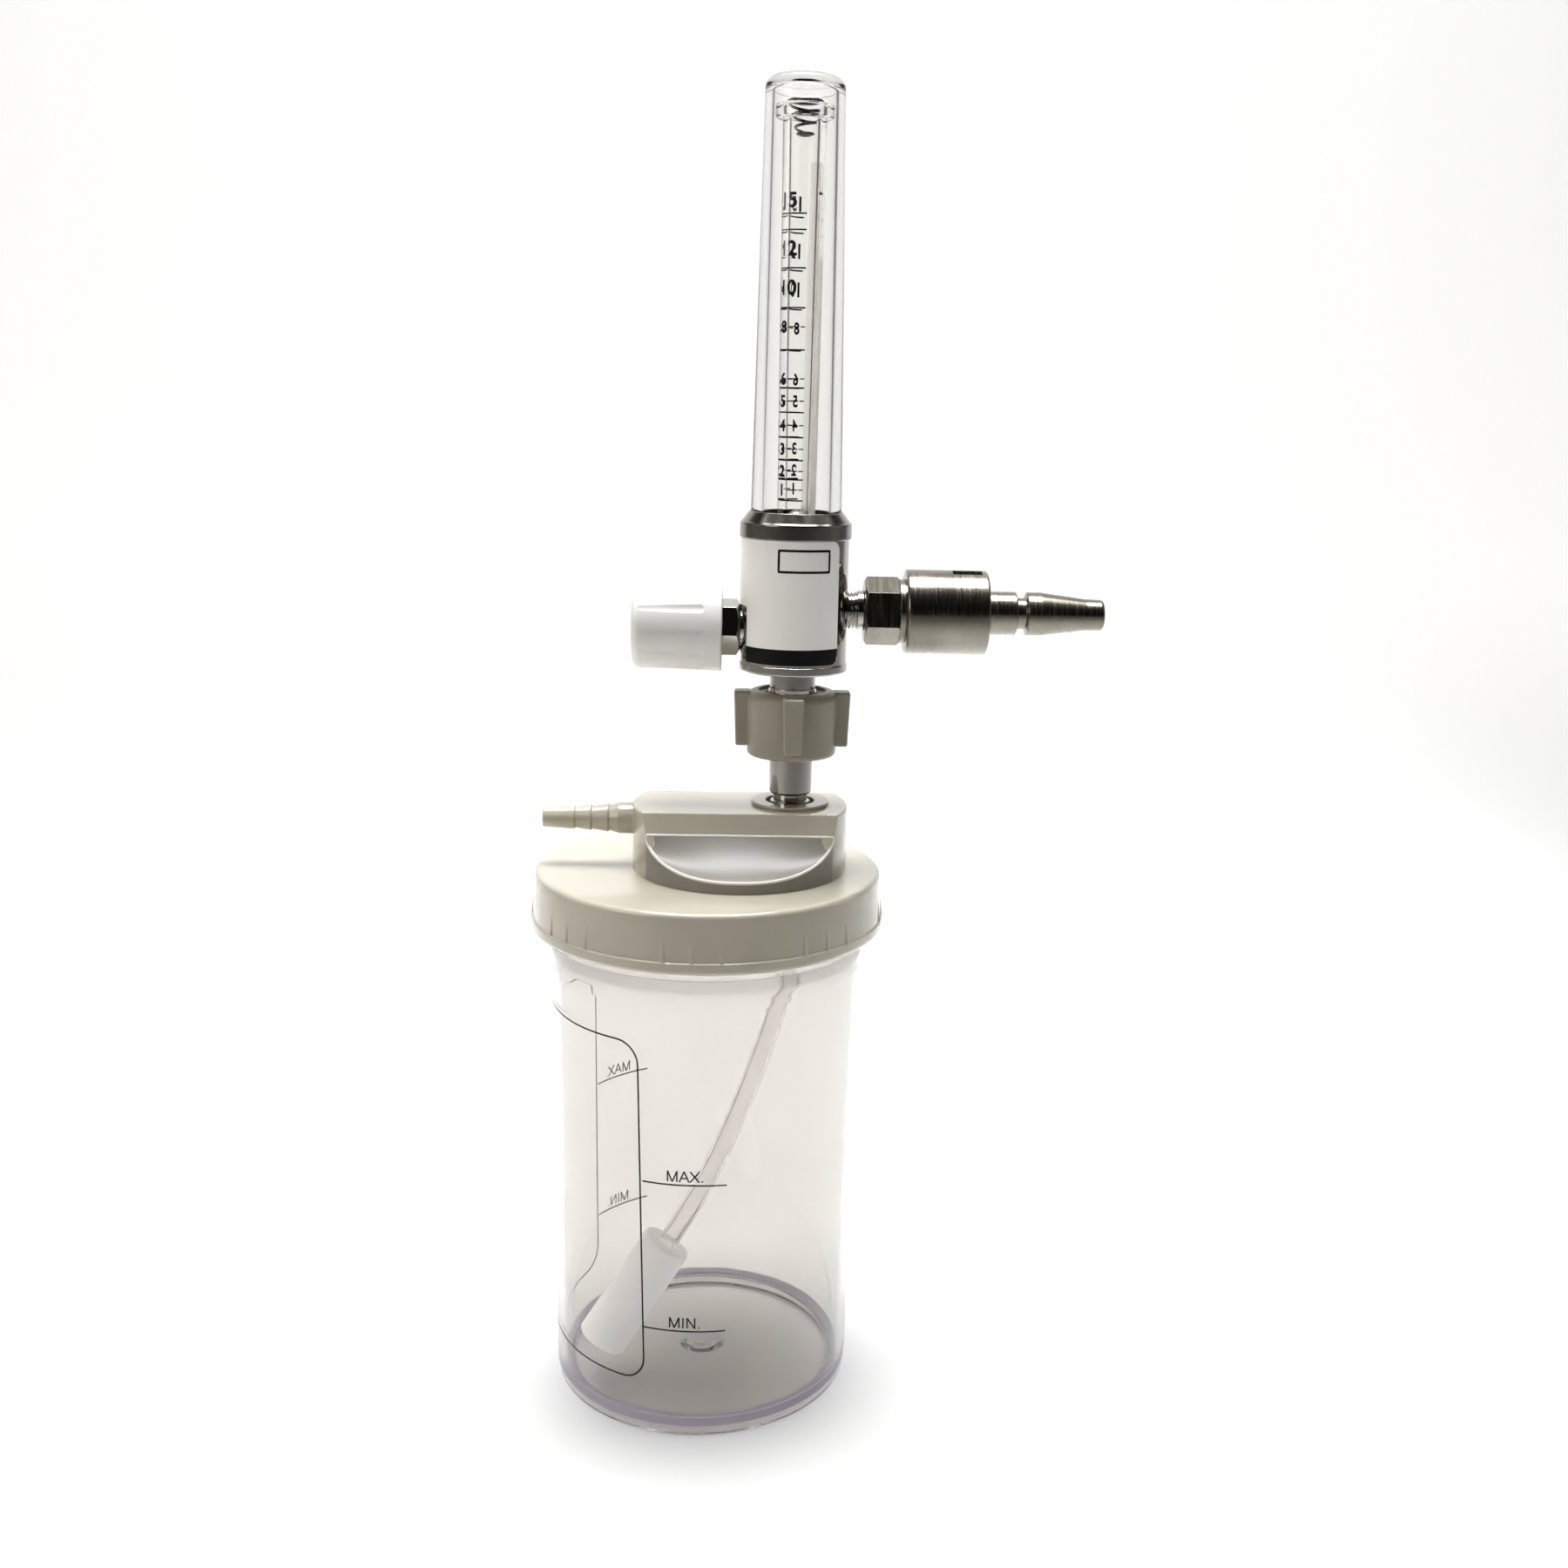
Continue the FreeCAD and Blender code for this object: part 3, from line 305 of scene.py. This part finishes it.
for node, material in {
        "lid_gasket": RUBBER, "lid": IVORY, "inlet_stem": CHROME, "stem_seal": RUBBER,
        "stem_washer": IVORY, "stem_locknut": CHROME, "nipple_seal": RUBBER, "dip_tube": HOSE,
        "diffuser": POROUS_PAINTED_GLOW, "wing_nut": GREY, "outlet_shank": CHROME, "flowmeter_body": CHROME,
        "body_label": LABEL_PAINTED_GLOW, "cover_collar": COLLAR, "cover_seal": RUBBER, "tube_seat": CHROME,
        "tube_seal": RUBBER, "tube_guide": TUBE, "stop_spring": STEEL, "float_ball": BALL,
        "valve_bonnet": CHROME, "spindle_seal": RUBBER, "valve_spindle": STEEL,
        "control_knob": WHITE, "knob_screw": STEEL, "knob_cap": WHITE, "inlet_nipple": CHROME,
        "inlet_filter": BRONZE, "probe_adaptor": TURNED, "probe_collar": TURNED,
        "probe_seal": RUBBER, "probe_nose": TURNED, "bottle": BOTTLE, "outer_cover": COVER,
        "flow_tube": TUBE}.items():
    wear(node, material)


# Clear pieces

def let_light_in(piece):
    """Lets shadow and bounce rays pass a clear piece, so what is inside it stays bright."""
    piece.visible_shadow = False
    piece.visible_diffuse = False


def bottle_wall(z):
    """Outer radius of the bottle's wall at a height."""
    return 39.4 + 1.4 * (z - 3.5) / 114.7


def tube_wall(z):
    """Outer radius of the flow tube at a height."""
    return 4.85 + 0.57 * (z - 227.7) / 100.7


def bottle():
    piece = lathe("bottle_shell", [
        (0, 2.4), (3.6, 2.5, 4.0), (6.4, 3.4, 3.0), (35.1, 3.4, 1.0), (35.7, 0, 0.6), (38.9, 0, 1.2),
        (39.4, 3.5, 2.0), (40.8, 118.2, 8.0), (42.3, 122.6), (42.8, 122.6, 0.3), (42.8, 124.4, 0.5),
        (41.6, 124.4), (41.6, 135.4, 0.6), (38.2, 135.4, 0.6), (38.2, 122.6, 6.0), (38.8, 114.2, 6.0),
        (37.4, 5.0, 0.6), (5.2, 5.0, 2.0), (3.6, 5.5, 1.5), (0, 5.6)],
        "bottle_body", BOTTLE, segments=256, arc_steps=8)
    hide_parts("bottle")
    let_light_in(piece)


def foot_ring():
    """Violet ring inside the bottle's foot; its violet and its glow are painted, for how the thick clear
    foot looks.
    """
    lathe("foot_ring", [(35.7, 2.7), (38.3, 2.7, 0.3), (38.5, 4.93, 0.15), (35.7, 4.93)],
          "bottle_body", FOOT_PAINTED_GLOW, segments=256)


def cover():
    """Clear cover with the fine joint line of its end cap."""
    piece = lathe("cover_shell", [
        (8.77, 230.3), (12.25, 230.3, 0.2), (12.25, 231.6), (11.62, 231.6), (10.5, 297.0),
        (9.86, 334.9), (9.68, 335.0), (9.68, 335.25), (9.85, 335.35),
        (9.8, 338.2, 2.8), (0, 339.0), (0, 335.9), (7.65, 335.9, 1.4), (8.47, 233.6)],
        "meter_body", COVER, FLOW_X, segments=160, arc_steps=10)
    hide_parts("outer_cover")
    let_light_in(piece)


def flow_tube():
    piece = lathe("tube_bore", [
        (2.52, 227.7), (4.85, 227.7, 0.3), (5.42, 328.4, 0.3), (3.35, 328.4)],
        "meter_body", TUBE, FLOW_X, segments=96)
    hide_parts("flow_tube")
    let_light_in(piece)


bottle()
foot_ring()
cover()
flow_tube()
let_light_in(nodes["tube_guide"])


# Turned and wound pieces

def nipple():
    """Inlet nipple with its screw thread."""
    piece = lathe("nipple_thread", [
        (2.0, 28.55), (4.95, 28.55, 0.4), (4.95, 36.95), (5.2, 37.25), (5.2, 38.9, 0.3), (4.0, 38.9),
        (4.0, 43.7, 0.3), (2.75, 43.7), (2.75, 41.1), (2.0, 41.1)],
        "meter_body", CHROME, axis_z=INLET_Z, segments=96, step=0.12,
        shape=thread(33.0, 37.2, 0.88, 0.5, 4.95))
    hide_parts("inlet_nipple")


def spring():
    """Conical spring with closed coils at both ends."""
    centres = []
    turns = 8.6
    steps = 480
    wire_r = 0.36
    for i in range(steps + 1):
        t = turns * i / steps
        rise = min(max((t - 2.0) / 2.8, 0.0), 1.0)
        z = 324.6 + 0.1 * min(t, 2.0) + 7.7 * rise
        r = 0.75 + 0.65 * min(t, 2.0) + 2.15 * rise ** 1.3 - 0.72 * max(t - 5.3, 0.0)
        a = 2 * math.pi * t
        centres.append((r, a, z))
    verts = []
    sides = 10
    for r, a, z in centres:
        for k in range(sides):
            b = 2 * math.pi * k / sides
            reach = r + wire_r * math.cos(b)
            verts.append(((FLOW_X + reach * math.cos(a)) * MM, reach * math.sin(a) * MM,
                          (z + wire_r * math.sin(b)) * MM))
    faces = []
    for i in range(steps):
        for k in range(sides):
            here = i * sides + k
            beside = i * sides + (k + 1) % sides
            faces.append((here, beside, beside + sides, here + sides))
    faces.append(tuple(range(sides))[::-1])
    faces.append(tuple(range(steps * sides, (steps + 1) * sides)))
    mesh = bpy.data.meshes.new("spring_wire")
    mesh.from_pydata(verts, [], faces)
    piece = finish_mesh("spring_wire", mesh, "meter_body", STEEL, 50)
    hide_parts("stop_spring")


def route(points, arc_steps=10):
    """Straight runs joined by tangent arcs, as one fine line."""
    fine = [points[0]]
    for before, corner, after in zip(points, points[1:], points[2:]):
        into = before - corner
        onward = after - corner
        reach = 0.45 * min(into.length, onward.length)
        half = into.angle(onward) / 2
        middle = (into.normalized() + onward.normalized()).normalized()
        centre = corner + middle * (reach / math.cos(half))
        start = corner + into.normalized() * reach - centre
        end = corner + onward.normalized() * reach - centre
        radius = start.length
        fine += [centre + start.normalized().slerp(end.normalized(), k / arc_steps) * radius
                 for k in range(arc_steps + 1)]
    fine.append(points[-1])
    return fine


def tube_along(name, fine, radii, body, material, sides=40):
    """Round wire or, with two radii, hollow tube along a fine line."""
    verts = []
    faces = []
    aside = Vector((0, 1, 0))
    for i, here in enumerate(fine):
        along = (fine[min(i + 1, len(fine) - 1)] - fine[max(i - 1, 0)]).normalized()
        aside = (aside - along * aside.dot(along)).normalized()
        up = along.cross(aside)
        for r in radii:
            for k in range(sides):
                a = 2 * math.pi * k / sides
                verts.append((here + aside * r * math.cos(a) + up * r * math.sin(a)) * MM)
    ring = sides * len(radii)
    for i in range(len(fine) - 1):
        for first in range(i * ring, (i + 1) * ring, sides):
            for k in range(sides):
                here = first + k
                beside = first + (k + 1) % sides
                faces.append((here, beside, beside + ring, here + ring))
    for first in (0, (len(fine) - 1) * ring):
        if len(radii) == 1:
            faces.append(tuple(range(first, first + sides)))
            continue
        for k in range(sides):
            beside = (k + 1) % sides
            faces.append((first + k, first + beside, first + sides + beside, first + sides + k))
    mesh = bpy.data.meshes.new(name)
    mesh.from_pydata(verts, [], faces)
    return finish_mesh(name, mesh, body, material, 50)


def dip_tube():
    """Clear hose along the dip tube's route."""
    points = [Vector(p) for p in (
        (21.0, 0, 130.8), (21.2, -0.3, 113.5), (18.9, -1.2, 101.5), (14.7, -2.4, 88.5), (9.5, -3.7, 74.5),
        (3.8, -5.0, 60.8), (-2.9, -6.5, 47.6), (-12.7, -8.6, 32.6))]
    piece = tube_along("dip_hose", route(points), (2.6, 1.8), "lid_body", HOSE)
    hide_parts("dip_tube")
    let_light_in(piece)


def finger_bowl(name, side):
    """Smooth bowl under one upper face of the lid's housing, down to the round wall; its grey is a painted
    reflection and its rim bead's near-white a painted highlight.
    """
    centre_x, wall_r, face_y, top_z, low_z, foot_z = 8.1, 28.03, 14.9, 151.6, 142.95, 139.95
    outline_power, hollow_power = 2.8, 1.7
    bead_r, bead_back, bead_down = 0.42, 0.22, 0.1
    half = math.sqrt(wall_r ** 2 - face_y ** 2)
    across, deep, along_top = 120, 28, 40
    rim = []
    verts = []
    for i in range(across + 1):
        t = -math.cos(math.pi * i / across)
        wall_y = math.sqrt(wall_r ** 2 - (half * t) ** 2)
        edge_z = top_z - (top_z - low_z) * math.sqrt(max(0.0, 1 - abs(t) ** outline_power))
        x = centre_x + half * t
        rim.append(Vector((x, side * (wall_y - bead_back), edge_z - bead_down)))
        for j in range(deep + 1):
            v = j / deep
            verts.append((x * MM, side * (face_y + (wall_y - face_y) * v) * MM,
                          (edge_z + (top_z - edge_z) * (1 - v) ** hollow_power) * MM))
        verts.append((x * MM, side * wall_y * MM, foot_z * MM))
        verts.append((x * MM, side * face_y * MM, foot_z * MM))
    row = deep + 3
    faces = []
    for i in range(across):
        for j in range(row):
            here = i * row + j
            beside = i * row + (j + 1) % row
            faces.append((here, beside, beside + row, here + row))
    mesh = bpy.data.meshes.new(name)
    mesh.from_pydata(verts, [], faces)
    # The bowl's grey is a painted reflection.
    finish_mesh(name, mesh, "lid_body", BOWL_PAINTED_REFLECTION, 40, False)
    top = [Vector((centre_x + half * (1 - 2 * k / along_top), side * (face_y - bead_back),
                   top_z - bead_down)) for k in range(1, along_top)]
    # The rim bead's near-white is a painted highlight.
    tube_along(name + "_rim", rim + top + [rim[0]], (bead_r,), "lid_body", RIM_PAINTED_HIGHLIGHT, 16)


nipple()
spring()
dip_tube()
finger_bowl("front_bowl", -1)
finger_bowl("rear_bowl", 1)


# Printing

def line(u0, v0, u1, v1, step=0.5):
    parts = max(1, math.ceil(math.hypot(u1 - u0, v1 - v0) / step))
    return [(u0 + (u1 - u0) * k / parts, v0 + (v1 - v0) * k / parts) for k in range(parts + 1)]


def stroke(points, width, closed=False):
    """Flat band along a line of (u, v) points, as vertices and faces."""
    count = len(points)
    verts = []
    for i in range(count):
        here = Vector(points[i])
        before = Vector(points[i - 1]) if closed or i else here
        after = Vector(points[(i + 1) % count]) if closed or i < count - 1 else here
        along = (after - before).normalized()
        side = Vector((-along.y, along.x)) * width / 2
        verts += [here + side, here - side]
    last = count if closed else count - 1
    faces = [(2 * i, 2 * i + 1, (2 * i + 3) % (2 * count), (2 * i + 2) % (2 * count)) for i in range(last)]
    return verts, faces


def letters(text, height, u, v, weight=0.0):
    """Flat figures of a height, their lower left corner at (u, v)."""
    curve = bpy.data.curves.new("print", "FONT")
    curve.body = text
    curve.size = height / 0.7
    curve.offset = weight
    curve.resolution_u = 5
    holder = bpy.data.objects.new("print", curve)
    flat = bpy.data.meshes.new_from_object(holder)
    bm = bmesh.new()
    bm.from_mesh(flat)
    bmesh.ops.triangulate(bm, faces=bm.faces)
    reach = max(p.co.x for p in bm.verts)
    cuts = int(reach / 0.4) + 1
    for k in range(1, cuts):
        bmesh.ops.bisect_plane(bm, geom=bm.verts[:] + bm.edges[:] + bm.faces[:],
                               plane_co=(reach * k / cuts, 0, 0), plane_no=(1, 0, 0))
    bm.verts.index_update()
    verts = [(p.co.x + u, p.co.y + v) for p in bm.verts]
    faces = [tuple(p.index for p in face.verts) for face in bm.faces]
    bm.free()
    bpy.data.objects.remove(holder)
    bpy.data.curves.remove(curve)
    bpy.data.meshes.remove(flat)
    return verts, faces


# Capitals drawn with straight strokes, as shares of their height, and the step to the next
CAPITALS = {"M": ([(0.16, 0, 0.16, 1), (0.16, 1, 0.575, 0), (0.575, 0, 0.99, 1), (0.99, 1, 0.99, 0)], 1.16),
            "A": ([(0.04, 0, 0.465, 1), (0.465, 1, 0.89, 0), (0.19, 0.35, 0.74, 0.35)], 0.93),
            "X": ([(0.06, 0, 0.86, 1), (0.06, 1, 0.86, 0)], 0.93), "I": ([(0.19, 0, 0.19, 1)], 0.39),
            "N": ([(0.17, 0, 0.17, 1), (0.17, 1, 0.84, 0), (0.84, 0, 0.84, 1)], 1.01),
            ".": ([(0.19, 0, 0.19, 0.13)], 0.39)}


def word(text, height, u, v, weight):
    """Capitals of a height as flat strokes, their lower left corner at (u, v)."""
    parts = []
    for letter in text:
        strokes, onward = CAPITALS[letter]
        for u0, v0, u1, v1 in strokes:
            parts.append(stroke(line(u + u0 * height, v + v0 * height,
                                     u + u1 * height, v + v1 * height), weight))
        u += onward * height
    return parts


def printed(name, parts, body, wall, axis_x, start_deg, material=INK, lift=0.03):
    """Ink on a round wall: u runs round it from start_deg, v is the height, in mm."""
    verts = []
    faces = []
    for points, polygons in parts:
        first = len(verts)
        for u, v in points:
            r = wall(v) + lift
            a = math.radians(start_deg) + u / wall(v)
            verts.append(((axis_x + r * math.cos(a)) * MM, r * math.sin(a) * MM, v * MM))
        faces += [tuple(first + k for k in polygon) for polygon in polygons]
    mesh = bpy.data.meshes.new(name)
    mesh.from_pydata(verts, [], faces)
    mesh.materials.append(material)
    piece = bpy.data.objects.new(name, mesh)
    scene.collection.objects.link(piece)
    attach(piece, body)
    return piece


# Heights of the scale's lines: whole litres with figures, whole litres without, and halves
FIGURES = {"15": 308.88, "12": 297.46, "10": 288.12, "8": 278.64, "6": 266.05, "5": 260.62, "4": 254.61,
           "3": 248.8, "2": 243.34, "1": 238.68}
LONG_LINES = [305.64, 301.8, 292.7, 283.21, 273.06, 263.82, 257.82, 251.67, 246.02, 241.22, 236.02]


def scale_marks():
    parts = []
    for text, z in FIGURES.items():
        high = 3.5 if len(text) > 1 else 2.8
        parts.append(letters(text, high, 0.4 if len(text) > 1 else 1.0, z - high / 2, 0.14))
        if len(text) == 1:
            parts.append(stroke(line(3.4, z, 6.2, z), 0.3))
            parts.append(stroke(line(6.5, z, 7.6, z), 0.3))
    for z in LONG_LINES:
        parts.append(stroke(line(0.3, z, 7.6, z), 0.38))
    return parts


def tube_print():
    printed("scale_front", scale_marks(), "meter_body", tube_wall, FLOW_X, -164.0)
    printed("scale_back", scale_marks(), "meter_body", tube_wall, FLOW_X, 81.0)
    band = []
    for k in range(11):
        band.append(stroke(line(0.25 + 0.48 * k, 230.0, 0.25 + 0.48 * k, 318.8, 4.0), 0.485))
    printed("backing_strip", band, "meter_body", tube_wall, FLOW_X, 6.0, BACKING, 0.02)
    arrow = ([(0, 0), (1.9, 0.5), (0, 1.0)], [(0, 1, 2)])
    printed("pointer_mark", [([(u, v + 310.1) for u, v in arrow[0]], arrow[1])],
            "meter_body", tube_wall, FLOW_X, -47.0)


def bottle_print():
    """Blank panel and level marks, on both sides of the panel."""
    wide = math.radians(103.5) * 40.1
    frame_line = rounded([(0, 14.7, 6.0), (wide, 14.7, 6.0), (wide, 105.1, 6.0), (0, 105.1, 6.0)], 10, 1.0)
    printed("panel_outline", [stroke(frame_line, 0.46, True)], "bottle_body", bottle_wall, 0.0, 144.5)
    for name, start, text_at in (("level_marks_front", -111.3, 6.1), ("level_marks_back", 117.0, 5.6)):
        parts = []
        for z, text, onward in ((69.05, "MAX.", 0.0), (29.55, "MIN.", 0.7)):
            parts.append(stroke(line(0, z, 21.3 if start < 0 else 18.6, z, 1.0), 0.42))
            parts += word(text, 2.85, text_at + onward, z + 0.85, 0.38)
        printed(name, parts, "bottle_body", bottle_wall, 0.0, start)


def label_print():
    """Dark band along the label's foot and an empty box."""
    def wall(z):
        return LABEL_R
    start = -151.0
    wide = math.radians(112.0) * LABEL_R
    band = []
    low, high, corner = 195.25, 199.3, 2.3
    columns = [wide * k / 60 for k in range(61)]
    for u0, u1 in zip(columns, columns[1:]):
        feet = []
        for u in (u0, u1):
            over = max(0.0, u - (wide - corner))
            feet.append(low + corner - math.sqrt(max(0.0, corner ** 2 - over ** 2)))
        band.append(([(u0, feet[0]), (u1, feet[1]), (u1, high), (u0, high)], [(0, 1, 2, 3)]))
    printed("label_band", band, "meter_body", wall, FLOW_X, start, lift=0.02)
    box_line = rounded([(0, 218.8, 0.1), (13.3, 218.8, 0.1), (13.3, 224.1, 0.1), (0, 224.1, 0.1)], 3, 0.5)
    printed("label_box", [stroke(box_line, 0.6, True)], "meter_body", wall, FLOW_X, -108.7, lift=0.02)


tube_print()
bottle_print()
label_print()


# Floor, light and camera

def sweep():
    """Pale floor that curves up into a backdrop."""
    points = [(-3.0, 0.0), (0.6, 0.0)]
    for k in range(1, 17):
        a = math.pi / 2 * k / 16
        points.append((0.6 + 0.9 * math.sin(a), 0.9 - 0.9 * math.cos(a)))
    points.append((1.5, 4.0))
    verts = []
    for y, z in points:
        verts.append((-4.0, y, z - 0.0002))
        verts.append((4.0, y, z - 0.0002))
    faces = [(2 * i, 2 * i + 1, 2 * i + 3, 2 * i + 2) for i in range(len(points) - 1)]
    mesh = bpy.data.meshes.new("floor")
    mesh.from_pydata(verts, [], faces)
    mesh.shade_smooth()
    floor = bpy.data.objects.new("floor", mesh)
    scene.collection.objects.link(floor)
    material, tree, shader = new_material("pale_floor", (0.80, 0.80, 0.795), 0.8)
    place = tree.nodes.new("ShaderNodeTexCoord")
    split = tree.nodes.new("ShaderNodeSeparateXYZ")
    tree.links.new(place.outputs["Object"], split.inputs["Vector"])
    glow = tree.nodes.new("ShaderNodeMapRange")
    glow.interpolation_type = "SMOOTHSTEP"
    glow.inputs["From Min"].default_value = 0.35
    glow.inputs["From Max"].default_value = 1.1
    glow.inputs["To Max"].default_value = 0.52
    tree.links.new(split.outputs["Y"], glow.inputs["Value"])
    aside = tree.nodes.new("ShaderNodeMath")
    aside.operation = "ABSOLUTE"
    tree.links.new(split.outputs["X"], aside.inputs[0])
    width = tree.nodes.new("ShaderNodeMapRange")
    width.interpolation_type = "SMOOTHSTEP"
    width.inputs["From Min"].default_value = 1.6
    width.inputs["From Max"].default_value = 1.1
    tree.links.new(aside.outputs["Value"], width.inputs["Value"])
    lit = tree.nodes.new("ShaderNodeMath")
    lit.operation = "MULTIPLY"
    tree.links.new(glow.outputs["Result"], lit.inputs[0])
    tree.links.new(width.outputs["Result"], lit.inputs[1])
    tree.links.new(lit.outputs["Value"], shader.inputs["Emission Strength"])
    shader.inputs["Emission Color"].default_value = (1, 1, 0.99, 1)
    mesh.materials.append(material)


def softbox(name, place, target, width, height, power, colour=(1, 1, 1), spread=180):
    light = bpy.data.lights.new(name, "AREA")
    light.shape = "RECTANGLE"
    light.size = width
    light.size_y = height
    light.energy = power
    light.color = colour
    light.spread = math.radians(spread)
    lamp = bpy.data.objects.new(name, light)
    lamp.location = place
    lamp.rotation_euler = (Vector(target) - Vector(place)).to_track_quat("-Z", "Y").to_euler()
    scene.collection.objects.link(lamp)


def world():
    """Even room light, dimmer on the camera's side than above and behind."""
    sky = bpy.data.worlds.new("studio")
    sky.use_nodes = True
    tree = sky.node_tree
    background = tree.nodes["Background"]
    place = tree.nodes.new("ShaderNodeTexCoord")
    split = tree.nodes.new("ShaderNodeSeparateXYZ")
    tree.links.new(place.outputs["Generated"], split.inputs["Vector"])
    ramp = tree.nodes.new("ShaderNodeValToRGB")
    stops = [(0.0, 0.004, 0.9), (0.2, 0.016, 0.9), (0.36, 0.19, 0.86), (0.5, 0.32, 0.9), (0.62, 0.3, 0.97),
             (1.0, 0.4, 1.0)]
    while len(ramp.color_ramp.elements) < len(stops):
        ramp.color_ramp.elements.new(0.5)
    for element, (position, level, cool) in zip(ramp.color_ramp.elements, stops):
        element.position = position
        element.color = (level, level * (1 + cool) / 2, level * cool, 1)
    shift = tree.nodes.new("ShaderNodeMapRange")
    shift.inputs["From Min"].default_value = -1.0
    tree.links.new(split.outputs["Y"], shift.inputs["Value"])
    tree.links.new(shift.outputs["Result"], ramp.inputs["Fac"])
    tree.links.new(ramp.outputs["Color"], background.inputs["Color"])
    background.inputs["Strength"].default_value = 1.0
    scene.world = sky


def camera():
    """Camera of the photograph: place, direction and framing fitted to the object."""
    pitch = 0.175468
    roll = -0.0271943
    yaw = 0.0575397
    look = Vector((math.sin(yaw) * math.cos(pitch), math.cos(yaw) * math.cos(pitch), -math.sin(pitch)))
    right = Vector((math.cos(yaw), -math.sin(yaw), 0))
    down = look.cross(right)
    across = right * math.cos(roll) + down * math.sin(roll)
    lower = down * math.cos(roll) - right * math.sin(roll)
    data = bpy.data.cameras.new("photo_camera")
    image_px, focal_px, centre_px = 1800, 1918.8, (961.155, 813.231)
    data.sensor_width = 36.0
    data.lens = data.sensor_width * focal_px / image_px
    data.shift_x = (image_px / 2 - centre_px[0]) / image_px
    data.shift_y = (centre_px[1] - image_px / 2) / image_px
    data.clip_start = 0.01
    data.clip_end = 50
    view = bpy.data.objects.new("photo_camera", data)
    turn = Matrix((across, -lower, -look)).transposed()
    view.matrix_world = Matrix.Translation((0.0081768, -0.4273585, 0.2582551)) @ turn.to_4x4()
    scene.collection.objects.link(view)
    scene.camera = view


sweep()
softbox("top_light", (0.0, 0.24, 1.2), (0, 0.24, 0), 0.9, 0.8, 4.3, (0.96, 0.98, 1.0), 50)
softbox("side_light", (-0.85, -0.65, 0.62), (0, 0, 0.17), 0.5, 0.45, 2.6, (1, 0.95, 0.87))
softbox("back_light", (0.0, 0.35, 1.5), (0, 1.3, 0.5), 2.0, 0.4, 11)
world()
camera()
scene.view_settings.view_transform = "Standard"
